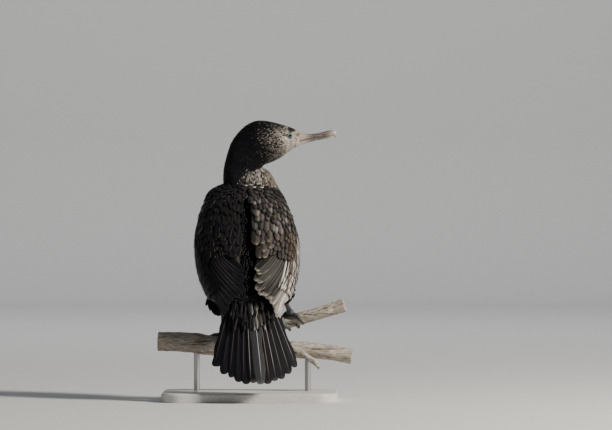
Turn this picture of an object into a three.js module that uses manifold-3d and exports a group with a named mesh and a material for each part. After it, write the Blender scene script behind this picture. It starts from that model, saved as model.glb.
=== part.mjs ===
// A little black cormorant, life size, perched on a cut forked limb that two rods hold over a flat base.
// Millimetres, +Z up. The bird faces +Y with its head turned to +X. The origin is the middle of the
// base's underside. A node is one closed solid, and neighbouring nodes keep a gap of 0.3 mm.
import * as THREE from "three";
import { mergeVertices } from "three/addons/utils/BufferGeometryUtils.js";
import Module from "manifold-3d";

const wasm = await Module();
wasm.setup();

// Driving dimensions.
const GAP = 0.3; // between nodes that touch
const BASE = { halfX: 118, halfY: 88, thick: 12, corner: 26, bevel: 2 };
const ROD = { radius: 4, leftX: -72, rightX: 78, topZ: 72 };
const PERCH_Y = 10; // the limb runs along X at this depth
const SLIVER = 0.05; // detail under this is dropped from a joined solid
const FEATHER = 0.6; // thickness of a vane
const EYE = { radius: 4.7, x: 54.6, y: 56.6, z: 357.8, lidRing: 4.2, lid: 1.1, lidOut: 2.7 }; // the right one
const ROUNDNESS = 0.92; // under 1, the section of a body is squarer than an ellipse
const BARK = { slow: 0.35, quick: 0.3 }; // heights of two waves round a branch
const CLAW = { turn: 24, height: 0.9, radii: [1.5, 1.3, 0.5] }; // degrees on from the toe, and over the bark

// The outside of the folded wings and the body under them. Each row: share of the way from the neck base to
// the tail base, back line y and z, belly line y and z, half width, middle x.
const PLUMAGE = [
  [-0.12, 62, 297, 100, 282, 30, -8],
  [0.0, 50, 293, 104, 262, 50, -8],
  [0.12, 36, 281, 112, 240, 58, -7.5],
  [0.25, 19, 262, 110, 214, 66, -6.5],
  [0.4, -1, 235, 92, 184, 70.5, -5],
  [0.55, -19, 209, 68, 153, 69, -3.5],
  [0.7, -36, 186, 38, 130, 64, -2],
  [0.85, -53, 163, 2, 116, 56, -0.5],
  [1.0, -71, 141, -52, 124, 47, 1],
  [1.12, -85, 121, -77, 113, 41, 2],
  [1.25, -98, 99, -92, 93, 34, 3],
];
// The torso under the wings, in the same columns.
const TORSO = [
  [-0.12, 80, 291, 88, 289, 12, -8],
  [-0.09, 66, 297, 98, 281, 30, -8],
  [-0.04, 57, 296, 104, 270, 41, -8],
  [0.0, 51, 291, 105, 262, 46, -8],
  [0.12, 38, 278, 112, 240, 53, -7.5],
  [0.25, 22, 259, 110, 214, 60, -6.5],
  [0.4, 3, 232, 92, 184, 64, -5],
  [0.55, -15, 206, 68, 153, 62.5, -3.5],
  [0.7, -31, 183, 38, 130, 57, -2],
  [0.85, -47, 160, 2, 113, 47, -0.5],
  [0.95, -57, 146, -32, 112, 34, 0.5],
  [1.0, -61, 138, -50, 117, 22, 1],
];
// Lower neck, seen from the bird's right: nape line x and z, throat line x and z, half width, depth y.
const LOWER_NECK = [
  [0.0, -20, 262, 46, 262, 30, 80],
  [0.3, -18, 280, 41, 281, 29, 79],
  [0.5, -15, 294, 35, 292.5, 27, 77],
  [0.7, -11, 306, 29, 304, 23.5, 75],
  [0.85, -5, 313, 23, 311, 19, 74],
  [1.0, 6, 317, 15, 316, 8, 73],
];
// Upper neck, nape and head, in the same columns, up to where the bill starts.
const HEAD = [
  [0.0, -36, 281, 6, 278, 23, 72],
  [0.09, -37, 297, 9, 294, 21.5, 71],
  [0.18, -36.5, 312, 12, 307, 20, 69],
  [0.27, -33, 328, 14, 313, 19.5, 68],
  [0.36, -26.3, 348, 15.5, 316, 19, 67],
  [0.45, -16, 362.8, 17.5, 318, 18.6, 66],
  [0.53, -4, 373.3, 19.5, 319.3, 18.2, 65],
  [0.61, 9, 378.3, 23, 320.5, 17.8, 65],
  [0.69, 22, 377.9, 29, 322.6, 17, 65],
  [0.77, 34, 375.6, 36, 325.8, 16, 65],
  [0.84, 45, 372.4, 43.5, 330.2, 15, 65],
  [0.9, 54, 369.6, 51, 335.8, 13.4, 65],
  [0.95, 61.5, 366, 58.5, 341.2, 10.8, 65],
  [1.0, 68.5, 362.4, 66, 346.2, 7.6, 65],
];
const HEAD_FROM = 0.47; // the neck ends and the head starts at this share of the rows above
// Bill: share along, ridge x and z, lower edge x and z, half width, depth y.
const UPPER_BILL = [
  [0.0, 64, 362.5, 64, 349.5, 7.2, 65],
  [0.16, 71.5, 362, 71.5, 351.8, 6.2, 65],
  [0.34, 81, 360.8, 81, 353.8, 4.6, 65],
  [0.54, 92, 362, 92, 355.9, 3.5, 65],
  [0.72, 102.5, 364.4, 102.5, 357.2, 3.3, 65],
  [0.83, 109, 366, 108.5, 357.8, 3.3, 65],
  [0.91, 115, 364.9, 112.6, 358.2, 2.6, 65],
  [0.96, 117.7, 360, 114.6, 357.2, 1.7, 65],
  [1.0, 117.6, 355.4, 116.4, 355, 0.8, 65],
];
const LOWER_BILL = [
  [0.0, 62, 348.2, 61, 341.6, 7.4, 65],
  [0.2, 71.5, 351, 71, 346.6, 6, 65],
  [0.4, 81, 353.1, 81, 349.6, 4.3, 65],
  [0.65, 92, 355.2, 92, 352, 3.2, 65],
  [0.85, 102.5, 356.4, 102.8, 354.2, 2.7, 65],
  [1.0, 110.5, 357, 110.5, 356, 1.6, 65],
];
// Limb, fork and twig: x, y, z of the middle line and radius.
const LIMB = [
  [-124, PERCH_Y + 4, 79, 12.6],
  [-84, PERCH_Y, 77.5, 13.4],
  [-46, PERCH_Y, 72.5, 13],
  [0, PERCH_Y, 69, 12.6],
  [64, PERCH_Y + 2, 68, 11.2],
  [104, PERCH_Y, 64.5, 10.4],
  [138, PERCH_Y - 4, 58.5, 10],
];
const FORK = [
  [-24, PERCH_Y + 4, 68, 9],
  [2, PERCH_Y + 7, 83, 9],
  [28, PERCH_Y + 9, 96, 8.6],
  [55, PERCH_Y + 8, 106, 8.1],
  [92, PERCH_Y + 4, 116.5, 8.4],
  [128, PERCH_Y, 128, 8.8],
];
const TWIG = [
  [58, PERCH_Y - 4, 68, 4.4],
  [72, PERCH_Y - 12, 62, 4],
  [84, PERCH_Y - 15, 54, 3.7],
  [95, PERCH_Y - 16, 44, 3.5],
];
// Tail: the root's middle, and where the middle feathers' tips hang. The tips lie on a curve that falls back
// by shorten at the outermost feather, and each feather lies a step under the one nearer the middle.
const TAIL = {
  root: new THREE.Vector3(1, -54, 139),
  tip: new THREE.Vector3(11, -123, 28),
  feathers: 12,
  rootPitch: 4.4,
  tipHalf: 52.5,
  shorten: 0.25,
  curve: 2.6,
  step: 0.95,
  arch: 7,
  width: 15,
};
const RUMP = { from: -0.1, to: 0.34, halfRoot: 27, halfEnd: 30, thickRoot: 6.5, thickEnd: 2.6, sunk: 2 };
const COVERTS = { count: 6, from: 0.04, to: 0.44, rootHalf: 15, tipHalf: 30, width: 12, height: 2.6 };
// A wing's core runs along the body between two shares, and is a slab between two depths under the plumage.
const CORE = { from: 0.02, to: 1.0, top: 1.0, rim: 3.2, rimUnder: 3.8, deep: 9.8, shallow: 5.8 };

// Rows are joined by smooth curves: a cubic between rows whose slopes come from their neighbours.
function smooth(rows, at) {
  const last = rows.length - 1;
  const x = THREE.MathUtils.clamp(at, rows[0][0], rows[last][0]);
  let i = 0;
  while (i < last - 1 && x > rows[i + 1][0]) i++;
  const slope = (k, c) => {
    const a = rows[Math.max(0, k - 1)];
    const b = rows[Math.min(last, k + 1)];
    return (b[c] - a[c]) / (b[0] - a[0]);
  };
  const [a, b] = [rows[i], rows[i + 1]];
  const run = b[0] - a[0];
  const t = (x - a[0]) / run;
  return a.slice(1).map((from, k) => {
    const c = k + 1;
    const rise = b[c] - from;
    const [m0, m1] = [slope(i, c) * run, slope(i + 1, c) * run];
    return from + t * (m0 + t * (3 * rise - 2 * m0 - m1 + t * (m0 + m1 - 2 * rise)));
  });
}

// Point of a body between a back line and a belly line. The lines lie in the y-z plane for the torso, and in
// the x-z plane for neck, head and bill. Angle 0 is the back, and a quarter turn is the bird's right.
function profilePoint(rows, plane, at, angle, height = 0) {
  const [topA, topZ, lowA, lowZ, wide, middle] = smooth(rows, at);
  const half = Math.max(Math.hypot(topA - lowA, topZ - lowZ) / 2, 1e-3);
  const ring = (v) => Math.sign(v) * Math.abs(v) ** ROUNDNESS;
  const lift = ((half + height) * ring(Math.cos(angle))) / half / 2;
  const side = (wide + height) * ring(Math.sin(angle));
  const a = (topA + lowA) / 2 + (topA - lowA) * lift;
  const z = (topZ + lowZ) / 2 + (topZ - lowZ) * lift;
  return plane === "yz" ? new THREE.Vector3(middle + side, a, z) : new THREE.Vector3(a, middle - side, z);
}

// A three.js geometry as a solid, faces out.
function solidOf(geometry) {
  const bare = new THREE.BufferGeometry().setAttribute("position", geometry.attributes.position);
  if (geometry.index) bare.setIndex(geometry.index);
  const merged = mergeVertices(bare, 1e-4);
  const build = (index) =>
    new wasm.Manifold(
      new wasm.Mesh({
        numProp: 3,
        vertProperties: Float32Array.from(merged.attributes.position.array),
        triVerts: Uint32Array.from(index),
      }),
    );
  const index = [...merged.index.array];
  const made = build(index);
  return made.volume() > 0 ? made : build(index.reverse());
}

// A sphere drawn out along rows: shape(t, angle) places the ring at share t, and both ends close on a point.
function loft(shape, rings, sides) {
  const geometry = new THREE.SphereGeometry(1, sides, rings);
  const { position, uv } = geometry.attributes;
  const middle = (t) => shape(t, 0).add(shape(t, Math.PI)).multiplyScalar(0.5);
  for (let i = 0; i < position.count; i++) {
    const t = 1 - uv.getY(i);
    const pole = t < 1e-6 || t > 1 - 1e-6;
    const p = pole ? middle(Math.round(t)) : shape(t, 2 * Math.PI * uv.getX(i));
    position.setXYZ(i, p.x, p.y, p.z);
  }
  return solidOf(geometry);
}

// Loft over all rows of a profile.
function body(rows, plane, rings, sides) {
  const [from, to] = [rows[0][0], rows[rows.length - 1][0]];
  return loft((t, angle) => profilePoint(rows, plane, lerp(from, to, t), angle), rings, sides);
}

// A thin closed sheet over a grid: over(a, b) and under(a, b) are its faces for a and b from 0 to 1. Both
// faces are split into triangles alike.
function sheet(over, under, alongs, acrosses) {
  const points = [];
  const faces = [];
  const row = acrosses.length;
  const layer = alongs.length * row;
  for (const face of [over, under])
    for (const a of alongs) for (const b of acrosses) points.push(...face(a, b).toArray());
  for (let i = 0; i + 1 < alongs.length; i++)
    for (let j = 0; j + 1 < row; j++) {
      const [p, q, r, s] = [i * row + j, i * row + j + 1, (i + 1) * row + j + 1, (i + 1) * row + j];
      faces.push(p, q, r, p, r, s, layer + p, layer + r, layer + q, layer + p, layer + s, layer + r);
    }
  const edge = [];
  for (let j = 0; j + 1 < row; j++) edge.push(j);
  for (let i = 0; i + 1 < alongs.length; i++) edge.push(i * row + row - 1);
  for (let j = row - 1; j > 0; j--) edge.push((alongs.length - 1) * row + j);
  for (let i = alongs.length - 1; i > 0; i--) edge.push(i * row);
  edge.forEach((p, k) => {
    const q = edge[(k + 1) % edge.length];
    faces.push(p, layer + p, layer + q, p, layer + q, q);
  });
  const geometry = new THREE.BufferGeometry();
  geometry.setAttribute("position", new THREE.Float32BufferAttribute(points, 3));
  geometry.setIndex(faces);
  return solidOf(geometry);
}

// Numbers from 0 to 1 in a fixed order that looks random.
function seeded(start) {
  let state = start;
  return () => {
    state = (state * 16807) % 2147483647;
    return state / 2147483647;
  };
}

const steps = (n) => Array.from({ length: n + 1 }, (_, i) => i / n);
const lerp = THREE.MathUtils.lerp;
const smoothstep = THREE.MathUtils.smoothstep;
const deg = THREE.MathUtils.degToRad;
const union = (solids) => wasm.Manifold.union(solids);

// The largest closed surface of a solid, without the slivers that joining and cutting leave.
function largest(made) {
  const bodies = made.asOriginal().simplify(SLIVER).decompose();
  return bodies.reduce((a, b) => (a.volume() > b.volume() ? a : b));
}

// A solid swollen by the gap, for cutting its neighbours clear of it. Each corner moves out along the mean of
// its faces, further where they meet at a sharp angle, up to a limit.
const SHARPEST = 0.6;
function swollen(made) {
  const mesh = made.getMesh();
  const corner = (k) => new THREE.Vector3().fromArray(mesh.vertProperties, 3 * k);
  const normals = Array.from({ length: mesh.numVert }, () => new THREE.Vector3());
  const faces = [];
  for (let i = 0; i < mesh.triVerts.length; i += 3) {
    const ids = [...mesh.triVerts.subarray(i, i + 3)];
    const [a, b, c] = ids.map(corner);
    const normal = b.clone().sub(a).cross(c.clone().sub(a)).normalize();
    faces.push([ids, normal]);
    ids.forEach((id, k) => {
      const [p, q, r] = [[a, b, c], [b, c, a], [c, a, b]][k];
      normals[id].addScaledVector(normal, q.clone().sub(p).angleTo(r.clone().sub(p)) || 0);
    });
  }
  normals.forEach((n) => n.normalize());
  const reach = normals.map(() => 1);
  for (const [ids, normal] of faces)
    for (const id of ids) reach[id] = Math.min(reach[id], Math.max(SHARPEST, normals[id].dot(normal)));
  const moved = Float32Array.from(mesh.vertProperties);
  normals.forEach((n, id) => corner(id).addScaledVector(n, GAP / reach[id]).toArray(moved, 3 * id));
  return new wasm.Manifold(new wasm.Mesh({ numProp: 3, vertProperties: moved, triVerts: mesh.triVerts }));
}

// Where a branch runs at a share of its rows of x, y, z, radius, and its directions there.
const NEARBY = 0.01;
function branchFrame(rows, at) {
  const table = rows.map((r, i) => [i / (rows.length - 1), ...r]);
  const [x, y, z, radius] = smooth(table, at);
  const [bx, by, bz] = smooth(table, Math.max(0, at - NEARBY));
  const [fx, fy, fz] = smooth(table, Math.min(1, at + NEARBY));
  const forward = new THREE.Vector3(fx - bx, fy - by, fz - bz).normalize();
  const near = new THREE.Vector3().crossVectors(forward, new THREE.Vector3(0, 0, 1)).normalize();
  const up = new THREE.Vector3().crossVectors(near, forward).normalize();
  return { centre: new THREE.Vector3(x, y, z), forward, near, up, radius };
}

// Point on a branch: share along it, angle from its top towards the near side, and height over the bark.
function barkPoint(rows, at, angle, height = 0) {
  const f = branchFrame(rows, at);
  const r = f.radius + height;
  return f.centre
    .clone()
    .addScaledVector(f.up, r * Math.cos(angle))
    .addScaledVector(f.near, r * Math.sin(angle));
}

// A branch with slight knots and flat sawn ends.
function branch(rows, rings, sides) {
  const slow = (t, angle) => BARK.slow * Math.sin(3 * angle + 9 * t);
  const quick = (t, angle) => BARK.quick * Math.sin(2 * angle - 17 * t);
  const knots = (t, angle) => slow(t, angle) + quick(t, angle);
  return loft((t, angle) => barkPoint(rows, endShare(t, rings), angle, knots(t, angle)), rings, sides);
}

// Puts the first and last rings of a tube on its ends, so that the caps are flat.
function endShare(t, rings) {
  return THREE.MathUtils.clamp((t * rings - 1) / (rings - 2), 0, 1);
}

// Tapered tube along a list of points with radii.
const TUBE_FRAMES = 40;
function limbTube(points, radii, rings, sides) {
  const curve = new THREE.CatmullRomCurve3(points, false, "centripetal");
  const frames = curve.computeFrenetFrames(TUBE_FRAMES, false);
  const table = radii.map((r, i) => [i / (radii.length - 1), r]);
  return loft(
    (t, angle) => {
      const at = endShare(t, rings);
      const k = Math.round(at * TUBE_FRAMES);
      const r = smooth(table, at)[0];
      return curve
        .getPoint(at)
        .addScaledVector(frames.normals[k], r * Math.cos(angle))
        .addScaledVector(frames.binormals[k], r * Math.sin(angle));
    },
    rings,
    sides,
  );
}

const plumagePoint = (u, phi, h) => profilePoint(PLUMAGE, "yz", u, phi, h);

// Tail surface: share of the way from root to tip, millimetres to the side, and height over the upper side.
const TAIL_ALONG = TAIL.tip.clone().sub(TAIL.root);
const TAIL_OUT = TAIL_ALONG.clone().cross(new THREE.Vector3(1, 0, 0)).normalize();
function tailPoint(along, side, height) {
  const arch = TAIL.arch * (side / TAIL.tipHalf) ** 2;
  return TAIL.root
    .clone()
    .addScaledVector(TAIL_ALONG, along)
    .addScaledVector(TAIL_OUT, height - arch)
    .add(new THREE.Vector3(side, 0, 0));
}

// The i-th of a count of numbers spread evenly from one to another.
const spread = (from, to, i, count) => lerp(from, to, i / (count - 1));

// Wing core: a slab over the torso's side, between an inner and an outer edge given in turns round the body.
function wingEdges(u) {
  const inner = 7 + 55 * smoothstep(u, 0.8, 1.1);
  const outer = lerp(lerp(96, 116, smoothstep(u, 0.02, 0.25)), 84, smoothstep(u, 0.55, 1.0));
  return [deg(inner), deg(outer)];
}
function wingCore(side) {
  const place = (h) => (a, b) => {
    const u = lerp(CORE.from, CORE.to, a);
    const [inner, outer] = wingEdges(u);
    const rim = Math.min(1, 5 * b, 5 * (1 - b), 6 * a, 0.25 + 2 * (1 - a));
    return plumagePoint(u, side * lerp(inner, outer, b), h(rim, a));
  };
  const over = place((rim) => -lerp(CORE.rim, CORE.top, rim));
  const under = place((rim, a) => -lerp(CORE.rimUnder, lerp(CORE.deep, CORE.shallow, a), rim));
  return sheet(over, under, steps(10), steps(6));
}

// A vane laid on a curved surface(a, b, height): it runs from root to tip, each [a, b], and is so many
// millimetres wide. Its height goes from sunk at the root to lifted at the tip, and rises across its width by
// roll per millimetre. Bow bends it sideways.
const OUTLINE = [
  [0.0, 0.5],
  [0.35, 0.94],
  [0.7, 1.0],
  [0.9, 0.74],
  [1.0, 0.3],
];
const COVERT_LIFT = { sunk: -2.4, lifted: 1.9, roll: 0.07, bow: 0 };
function vane(surface, root, tip, width, { sunk, lifted, roll, bow } = COVERT_LIFT) {
  const small = 1e-3;
  const run = [tip[0] - root[0], tip[1] - root[1]];
  const place = (depth) => (t, c) => {
    const side = 2 * c - 1;
    const [a, b] = [root[0] + run[0] * t, root[1] + run[1] * (t + bow * t * (1 - t))];
    const here = surface(a, b, 0);
    const alongA = surface(a + small, b, 0).sub(here).divideScalar(small);
    const alongB = surface(a, b + small, 0).sub(here).divideScalar(small);
    const bend = run[1] * (1 + bow * (1 - 2 * t));
    const forward = alongA.clone().multiplyScalar(run[0]).addScaledVector(alongB, bend);
    const normal = alongA.clone().cross(alongB);
    const across = normal.clone().cross(forward).normalize();
    if (across.dot(alongB) < 0) across.negate();
    const offset = (side * width * smooth(OUTLINE, t)[0]) / 2;
    const [aa, ab, bb] = [alongA.dot(alongA), alongA.dot(alongB), alongB.dot(alongB)];
    const [ca, cb] = [alongA.dot(across), alongB.dot(across)];
    const det = aa * bb - ab * ab;
    const [stepA, stepB] = [(ca * bb - cb * ab) / det, (cb * aa - ca * ab) / det];
    const height = lerp(sunk, lifted, t) + roll * offset - FEATHER * (1 - 0.4 * t) * depth;
    return surface(a + offset * stepA, b + offset * stepB, height);
  };
  return sheet(place(0), place(1), OUTLINE.map((row) => row[0]), steps(2));
}

// Tiers of vanes on a wing. Each row: how many, tip share u, length in u, angles round the body of the first
// and last at the tip, how much further out their roots lie, and width in millimetres.
const TIERS = [
  { count: 5, tip: 0.2, length: 0.17, from: 18, to: 96, out: 2, width: 27 },
  { count: 6, tip: 0.34, length: 0.21, from: 16, to: 102, out: 3, width: 25 },
  { count: 6, tip: 0.48, length: 0.22, from: 15, to: 101, out: 4, width: 25 },
  { count: 6, tip: 0.63, length: 0.24, from: 14, to: 96, out: 6, width: 25 },
];
// Secondaries and primaries, one each: root u and angle, tip u and angle, width.
const QUILLS = [
  [0.52, 34, 0.775, 8, 20],
  [0.5, 42, 0.87, 9, 19],
  [0.5, 48, 0.965, 14, 19],
  [0.53, 57, 1.01, 26, 19],
  [0.57, 66, 1.06, 39, 17],
  [0.6, 74, 1.1, 49, 16],
  [0.64, 80, 1.14, 58, 14],
  [0.64, 87, 1.08, 68, 14],
  [0.62, 93, 1.0, 77, 15],
];
const QUILL_LIFT = { sunk: -2.6, lifted: 1.2, step: 0.16, roll: 0.1, bow: -0.35 }; // each a step lower
function wing(side) {
  const random = seeded(side < 0 ? 11 : 29);
  const onWing = (u, angle, h) => plumagePoint(u, side * angle, h);
  const laid = (u0, angle0, u1, angle1, width, options) =>
    vane(onWing, [u0, deg(angle0)], [u1, deg(angle1)], width, options);
  const vanes = TIERS.flatMap(({ count, tip, length, from, to, out, width }) =>
    Array.from({ length: count }, (_, i) => {
      const angle = spread(from, to, i, count);
      const end = tip + 0.012 * (random() - 0.5) + 0.012 * (i % 2);
      const turned = angle + 2 * (random() - 0.5);
      return laid(end - length, angle + out, end, turned, width * (0.96 + 0.08 * random()));
    }),
  );
  const quills = QUILLS.map(([u0, angle0, u1, angle1, width], i) =>
    laid(u0, angle0, u1, angle1, width, { ...QUILL_LIFT, lifted: QUILL_LIFT.lifted - QUILL_LIFT.step * i }),
  );
  return union([wingCore(side), ...vanes, ...quills]);
}

// Tail: rump body, rectrices with the middle pair on top, and short coverts over their roots.
function tail() {
  const rump = loft(
    (t, angle) => {
      const fullness = Math.sqrt(Math.max(0.02, Math.sin(Math.PI * (0.1 + 0.86 * t))));
      const half = lerp(RUMP.halfRoot, RUMP.halfEnd, t) * fullness;
      const height = lerp(RUMP.thickRoot, RUMP.thickEnd, t) * Math.cos(angle) - RUMP.sunk;
      return tailPoint(lerp(RUMP.from, RUMP.to, t), half * Math.sin(angle), height);
    },
    6,
    14,
  );
  const middle = (TAIL.feathers - 1) / 2;
  const quills = Array.from({ length: TAIL.feathers }, (_, i) => {
    const place = i - middle;
    const off = place / middle;
    const level = -TAIL.step * (Math.abs(place) - 0.5) + (place > 0 ? TAIL.step / 2 : 0);
    const tip = [1 - TAIL.shorten * Math.abs(off) ** TAIL.curve, TAIL.tipHalf * off];
    const lift = { sunk: level - 0.4, lifted: level, roll: 0, bow: 0 };
    return vane(tailPoint, [0.02, TAIL.rootPitch * place], tip, TAIL.width, lift);
  });
  const coverts = Array.from({ length: COVERTS.count }, (_, i) => {
    const off = spread(-1, 1, i, COVERTS.count);
    const lift = { sunk: 1, lifted: COVERTS.height - 2 * off ** 2, roll: 0, bow: 0 };
    const tip = [COVERTS.to - 0.08 * off ** 2, COVERTS.tipHalf * off];
    return vane(tailPoint, [COVERTS.from, COVERTS.rootHalf * off], tip, COVERTS.width, lift);
  });
  return union([rump, ...quills, ...coverts]);
}

// Legs: thigh as rows of x, y, z, radius down to the ankle, then the foot's joint on the bark, and the
// shank's radii.
const LEGS = {
  left: {
    thigh: [
      [-28, 14, 150, 19],
      [-36, 3, 142, 19],
      [-40, -8, 133, 16],
      [-38, -17, 125, 9],
      [-36, -20.5, 121, 4.8],
    ],
    ankle: [-36, -20, 122],
    foot: [-36, 9, 89.5],
    shank: [4.4, 3.1, 3.0, 3.4, 4.2],
  },
  right: {
    thigh: [
      [30, 8, 158, 18],
      [38, -2, 152, 18],
      [43, -14, 146, 14],
      [45.5, -24, 140.5, 7.5],
      [46, -28, 137, 4.8],
    ],
    ankle: [46, -28, 138],
    foot: [54, 10, 119],
    shank: [4.4, 3.1, 3.0, 3.4, 4.2],
  },
};
const spot = (row) => new THREE.Vector3(...row.slice(0, 3));

function thigh(leg) {
  return limbTube(leg.thigh.map(spot), leg.thigh.map((row) => row[3]), 9, 12);
}

function shank(leg) {
  const [ankle, foot] = [spot(leg.ankle), spot(leg.foot)];
  return limbTube([ankle, ankle.clone().lerp(foot, 0.5), foot], leg.shank, 8, 10);
}

// Feet: the branch, where on it, and for each toe a list of [share along the branch from there, degrees round
// from its top] that the toe follows over the bark. Webs are named by the first of their two toes.
const FEET = {
  left: {
    rows: LIMB,
    at: 0.368,
    joint: LEGS.left.foot,
    webs: [0, 1, 2],
    webReach: 0.76,
    toes: [
      [[0, 4], [0.03, 40], [0.042, 78]],
      [[0.01, -6], [0.04, -45], [0.045, -95], [0.04, -128]],
      [[-0.003, -10], [0.005, -50], [0.008, -100], [0.005, -150]],
      [[-0.01, -4], [-0.035, -12], [-0.06, -26], [-0.083, -48]],
    ],
  },
  right: {
    rows: FORK,
    at: 0.595,
    joint: LEGS.right.foot,
    webs: [1, 2],
    webReach: 0.62,
    toes: [
      [[-0.01, 6], [-0.05, 45], [-0.056, 95], [-0.03, 138]],
      [[-0.008, -7], [-0.024, -52], [-0.029, -110], [-0.026, -170], [-0.02, -204]],
      [[0.006, -10], [0.03, -55], [0.045, -115], [0.05, -175], [0.045, -212]],
      [[0.01, 6], [0.052, 48], [0.08, 92], [0.092, 128]],
    ],
  },
};
const TOE = { radii: [3.8, 3.2, 2.7, 2.3, 1.7], root: 3.2, tip: 1.7, clear: 0.2, pad: 5.6 };
const WEB = { from: 0.3, scoop: 0.3, half: 0.55, clear: 1.5, step: 0.13 };

// Middle line of a toe, from the joint and then over the bark at the toe's own radius.
function toePoints(foot, toe) {
  const lift = (i) => spread(TOE.root, TOE.tip, i, toe.length) + TOE.clear;
  const over = toe.map(([da, angle], i) => barkPoint(foot.rows, foot.at + da, deg(angle), lift(i)));
  return [spot(foot.joint), ...over];
}

// A toe and the claw that grips the bark beyond it.
function toeSolid(foot, toe) {
  const points = toePoints(foot, toe);
  const [a, b] = points.slice(-2);
  const [da, angle] = toe[toe.length - 1];
  const claw = barkPoint(foot.rows, foot.at + da, deg(angle + Math.sign(angle) * CLAW.turn), CLAW.height);
  const main = limbTube(points, TOE.radii, 8, 6);
  const nail = limbTube([b.clone().lerp(a, 0.2), b, claw], CLAW.radii, 4, 5);
  return main.add(nail);
}

// The web between toe i and the next: a thin sheet with a scooped free edge that stays clear of the bark.
function web(foot, i) {
  const [c, d] = [i, i + 1].map((k) => new THREE.CatmullRomCurve3(toePoints(foot, foot.toes[k])));
  const face = (h) => (a, b) => {
    const reach = lerp(WEB.from, foot.webReach - WEB.scoop * Math.sin(Math.PI * b), a);
    const [from, to] = [c.getPoint(reach), d.getPoint(reach)];
    const point = from.clone().lerp(to, lerp(0.02, 0.98, b));
    const frame = branchFrame(foot.rows, foot.at);
    const out = point.clone().sub(frame.centre);
    out.addScaledVector(frame.forward, -out.dot(frame.forward));
    const size = Math.max(out.length(), frame.radius + WEB.clear + WEB.step * i);
    const axis = point.clone().sub(out);
    return axis.addScaledVector(out.normalize(), size + h);
  };
  return sheet(face(WEB.half), face(-WEB.half), steps(3), steps(3));
}

function footSolid(foot) {
  const toes = foot.toes.map((toe) => toeSolid(foot, toe));
  const webs = foot.webs.map((i) => web(foot, i));
  const pad = solidOf(new THREE.SphereGeometry(TOE.pad, 10, 6)).translate(foot.joint);
  return union([...toes, ...webs, pad]);
}

// The stand's base: a slab with round corners and a bevelled upper edge.
function baseSolid() {
  const { halfX, halfY, thick, corner, bevel } = BASE;
  const outline = new THREE.Shape();
  const [x, y, r] = [halfX - bevel, halfY - bevel, corner];
  outline.moveTo(r - x, -y).lineTo(x - r, -y).absarc(x - r, r - y, r, -Math.PI / 2, 0);
  outline.lineTo(x, y - r).absarc(x - r, y - r, r, 0, Math.PI / 2);
  outline.lineTo(r - x, y).absarc(r - x, y - r, r, Math.PI / 2, Math.PI);
  outline.lineTo(-x, r - y).absarc(r - x, r - y, r, Math.PI, 1.5 * Math.PI);
  const edge = { bevelThickness: bevel, bevelSize: bevel, bevelSegments: 1 };
  const options = { depth: thick - bevel, curveSegments: 5, ...edge };
  const slab = solidOf(new THREE.ExtrudeGeometry(outline, options));
  return slab.trimByPlane([0, 0, 1], 0);
}

// A rod from the base up into the limb's middle, before the limb is cut from it.
function rodSolid(x) {
  const height = ROD.topZ - BASE.thick - GAP;
  const rod = new THREE.CylinderGeometry(ROD.radius, ROD.radius, height, 20);
  rod.rotateX(Math.PI / 2).translate(x, PERCH_Y, BASE.thick + GAP + height / 2);
  return solidOf(rod);
}

// Parts, each cut clear of those it meets.
const torso = body(TORSO, "yz", 20, 24);
const torsoClear = swollen(torso);
const upper = body(HEAD, "xz", 30, 20);
const lower = body(LOWER_NECK, "xz", 10, 20);
const ball = (radius, y) => solidOf(new THREE.SphereGeometry(radius, 12, 8)).translate([EYE.x, y, EYE.z]);
const headDepth = HEAD[HEAD.length - 1][6]; // the head's own middle plane
const eyeYs = { right: EYE.y, left: 2 * headDepth - EYE.y };

// The cut between head and neck runs through the throat crease and the back of the crown.
const cutTop = profilePoint(HEAD, "xz", HEAD_FROM, 0);
const cutLow = profilePoint(HEAD, "xz", HEAD_FROM, Math.PI);
const cutNormal = new THREE.Vector3(cutTop.z - cutLow.z, 0, cutLow.x - cutTop.x).normalize();
const cutAt = cutNormal.dot(cutTop);
const backNormal = cutNormal.clone().negate();

const lids = [eyeYs.right, eyeYs.left].map((y) => {
  const ring = new THREE.TorusGeometry(EYE.lidRing, EYE.lid, 6, 18);
  const out = y < headDepth ? -1 : 1;
  return solidOf(ring.rotateX(Math.PI / 2).translate(EYE.x, y + out * EYE.lidOut, EYE.z));
});
const upperBill = body(UPPER_BILL, "xz", 16, 14);
const lowerBill = body(LOWER_BILL, "xz", 12, 14);
const headWhole = upper.trimByPlane(cutNormal.toArray(), cutAt + GAP / 2);
const neckPart = upper.trimByPlane(backNormal.toArray(), -cutAt + GAP / 2);
const sockets = union([eyeYs.right, eyeYs.left].map((y) => ball(EYE.radius + GAP, y)));
const headSolid = largest(union([headWhole, ...lids]).subtract(sockets));
const headClear = swollen(headWhole);
const neckSolid = largest(union([neckPart, lower]).subtract(torsoClear).subtract(headClear));
const billUpperSolid = largest(upperBill.subtract(headClear));
const billLowerSolid = largest(lowerBill.subtract(headClear).subtract(swollen(upperBill)));

const limb = branch(LIMB, 22, 14);
const limbClear = swollen(limb);
const forkTube = branch(FORK, 18, 12);
const forkClear = swollen(forkTube);
const fork = largest(forkTube.subtract(limbClear));
const twig = largest(branch(TWIG, 10, 10).subtract(limbClear).subtract(forkClear));
const woodClear = union([limbClear, forkClear]);

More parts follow.
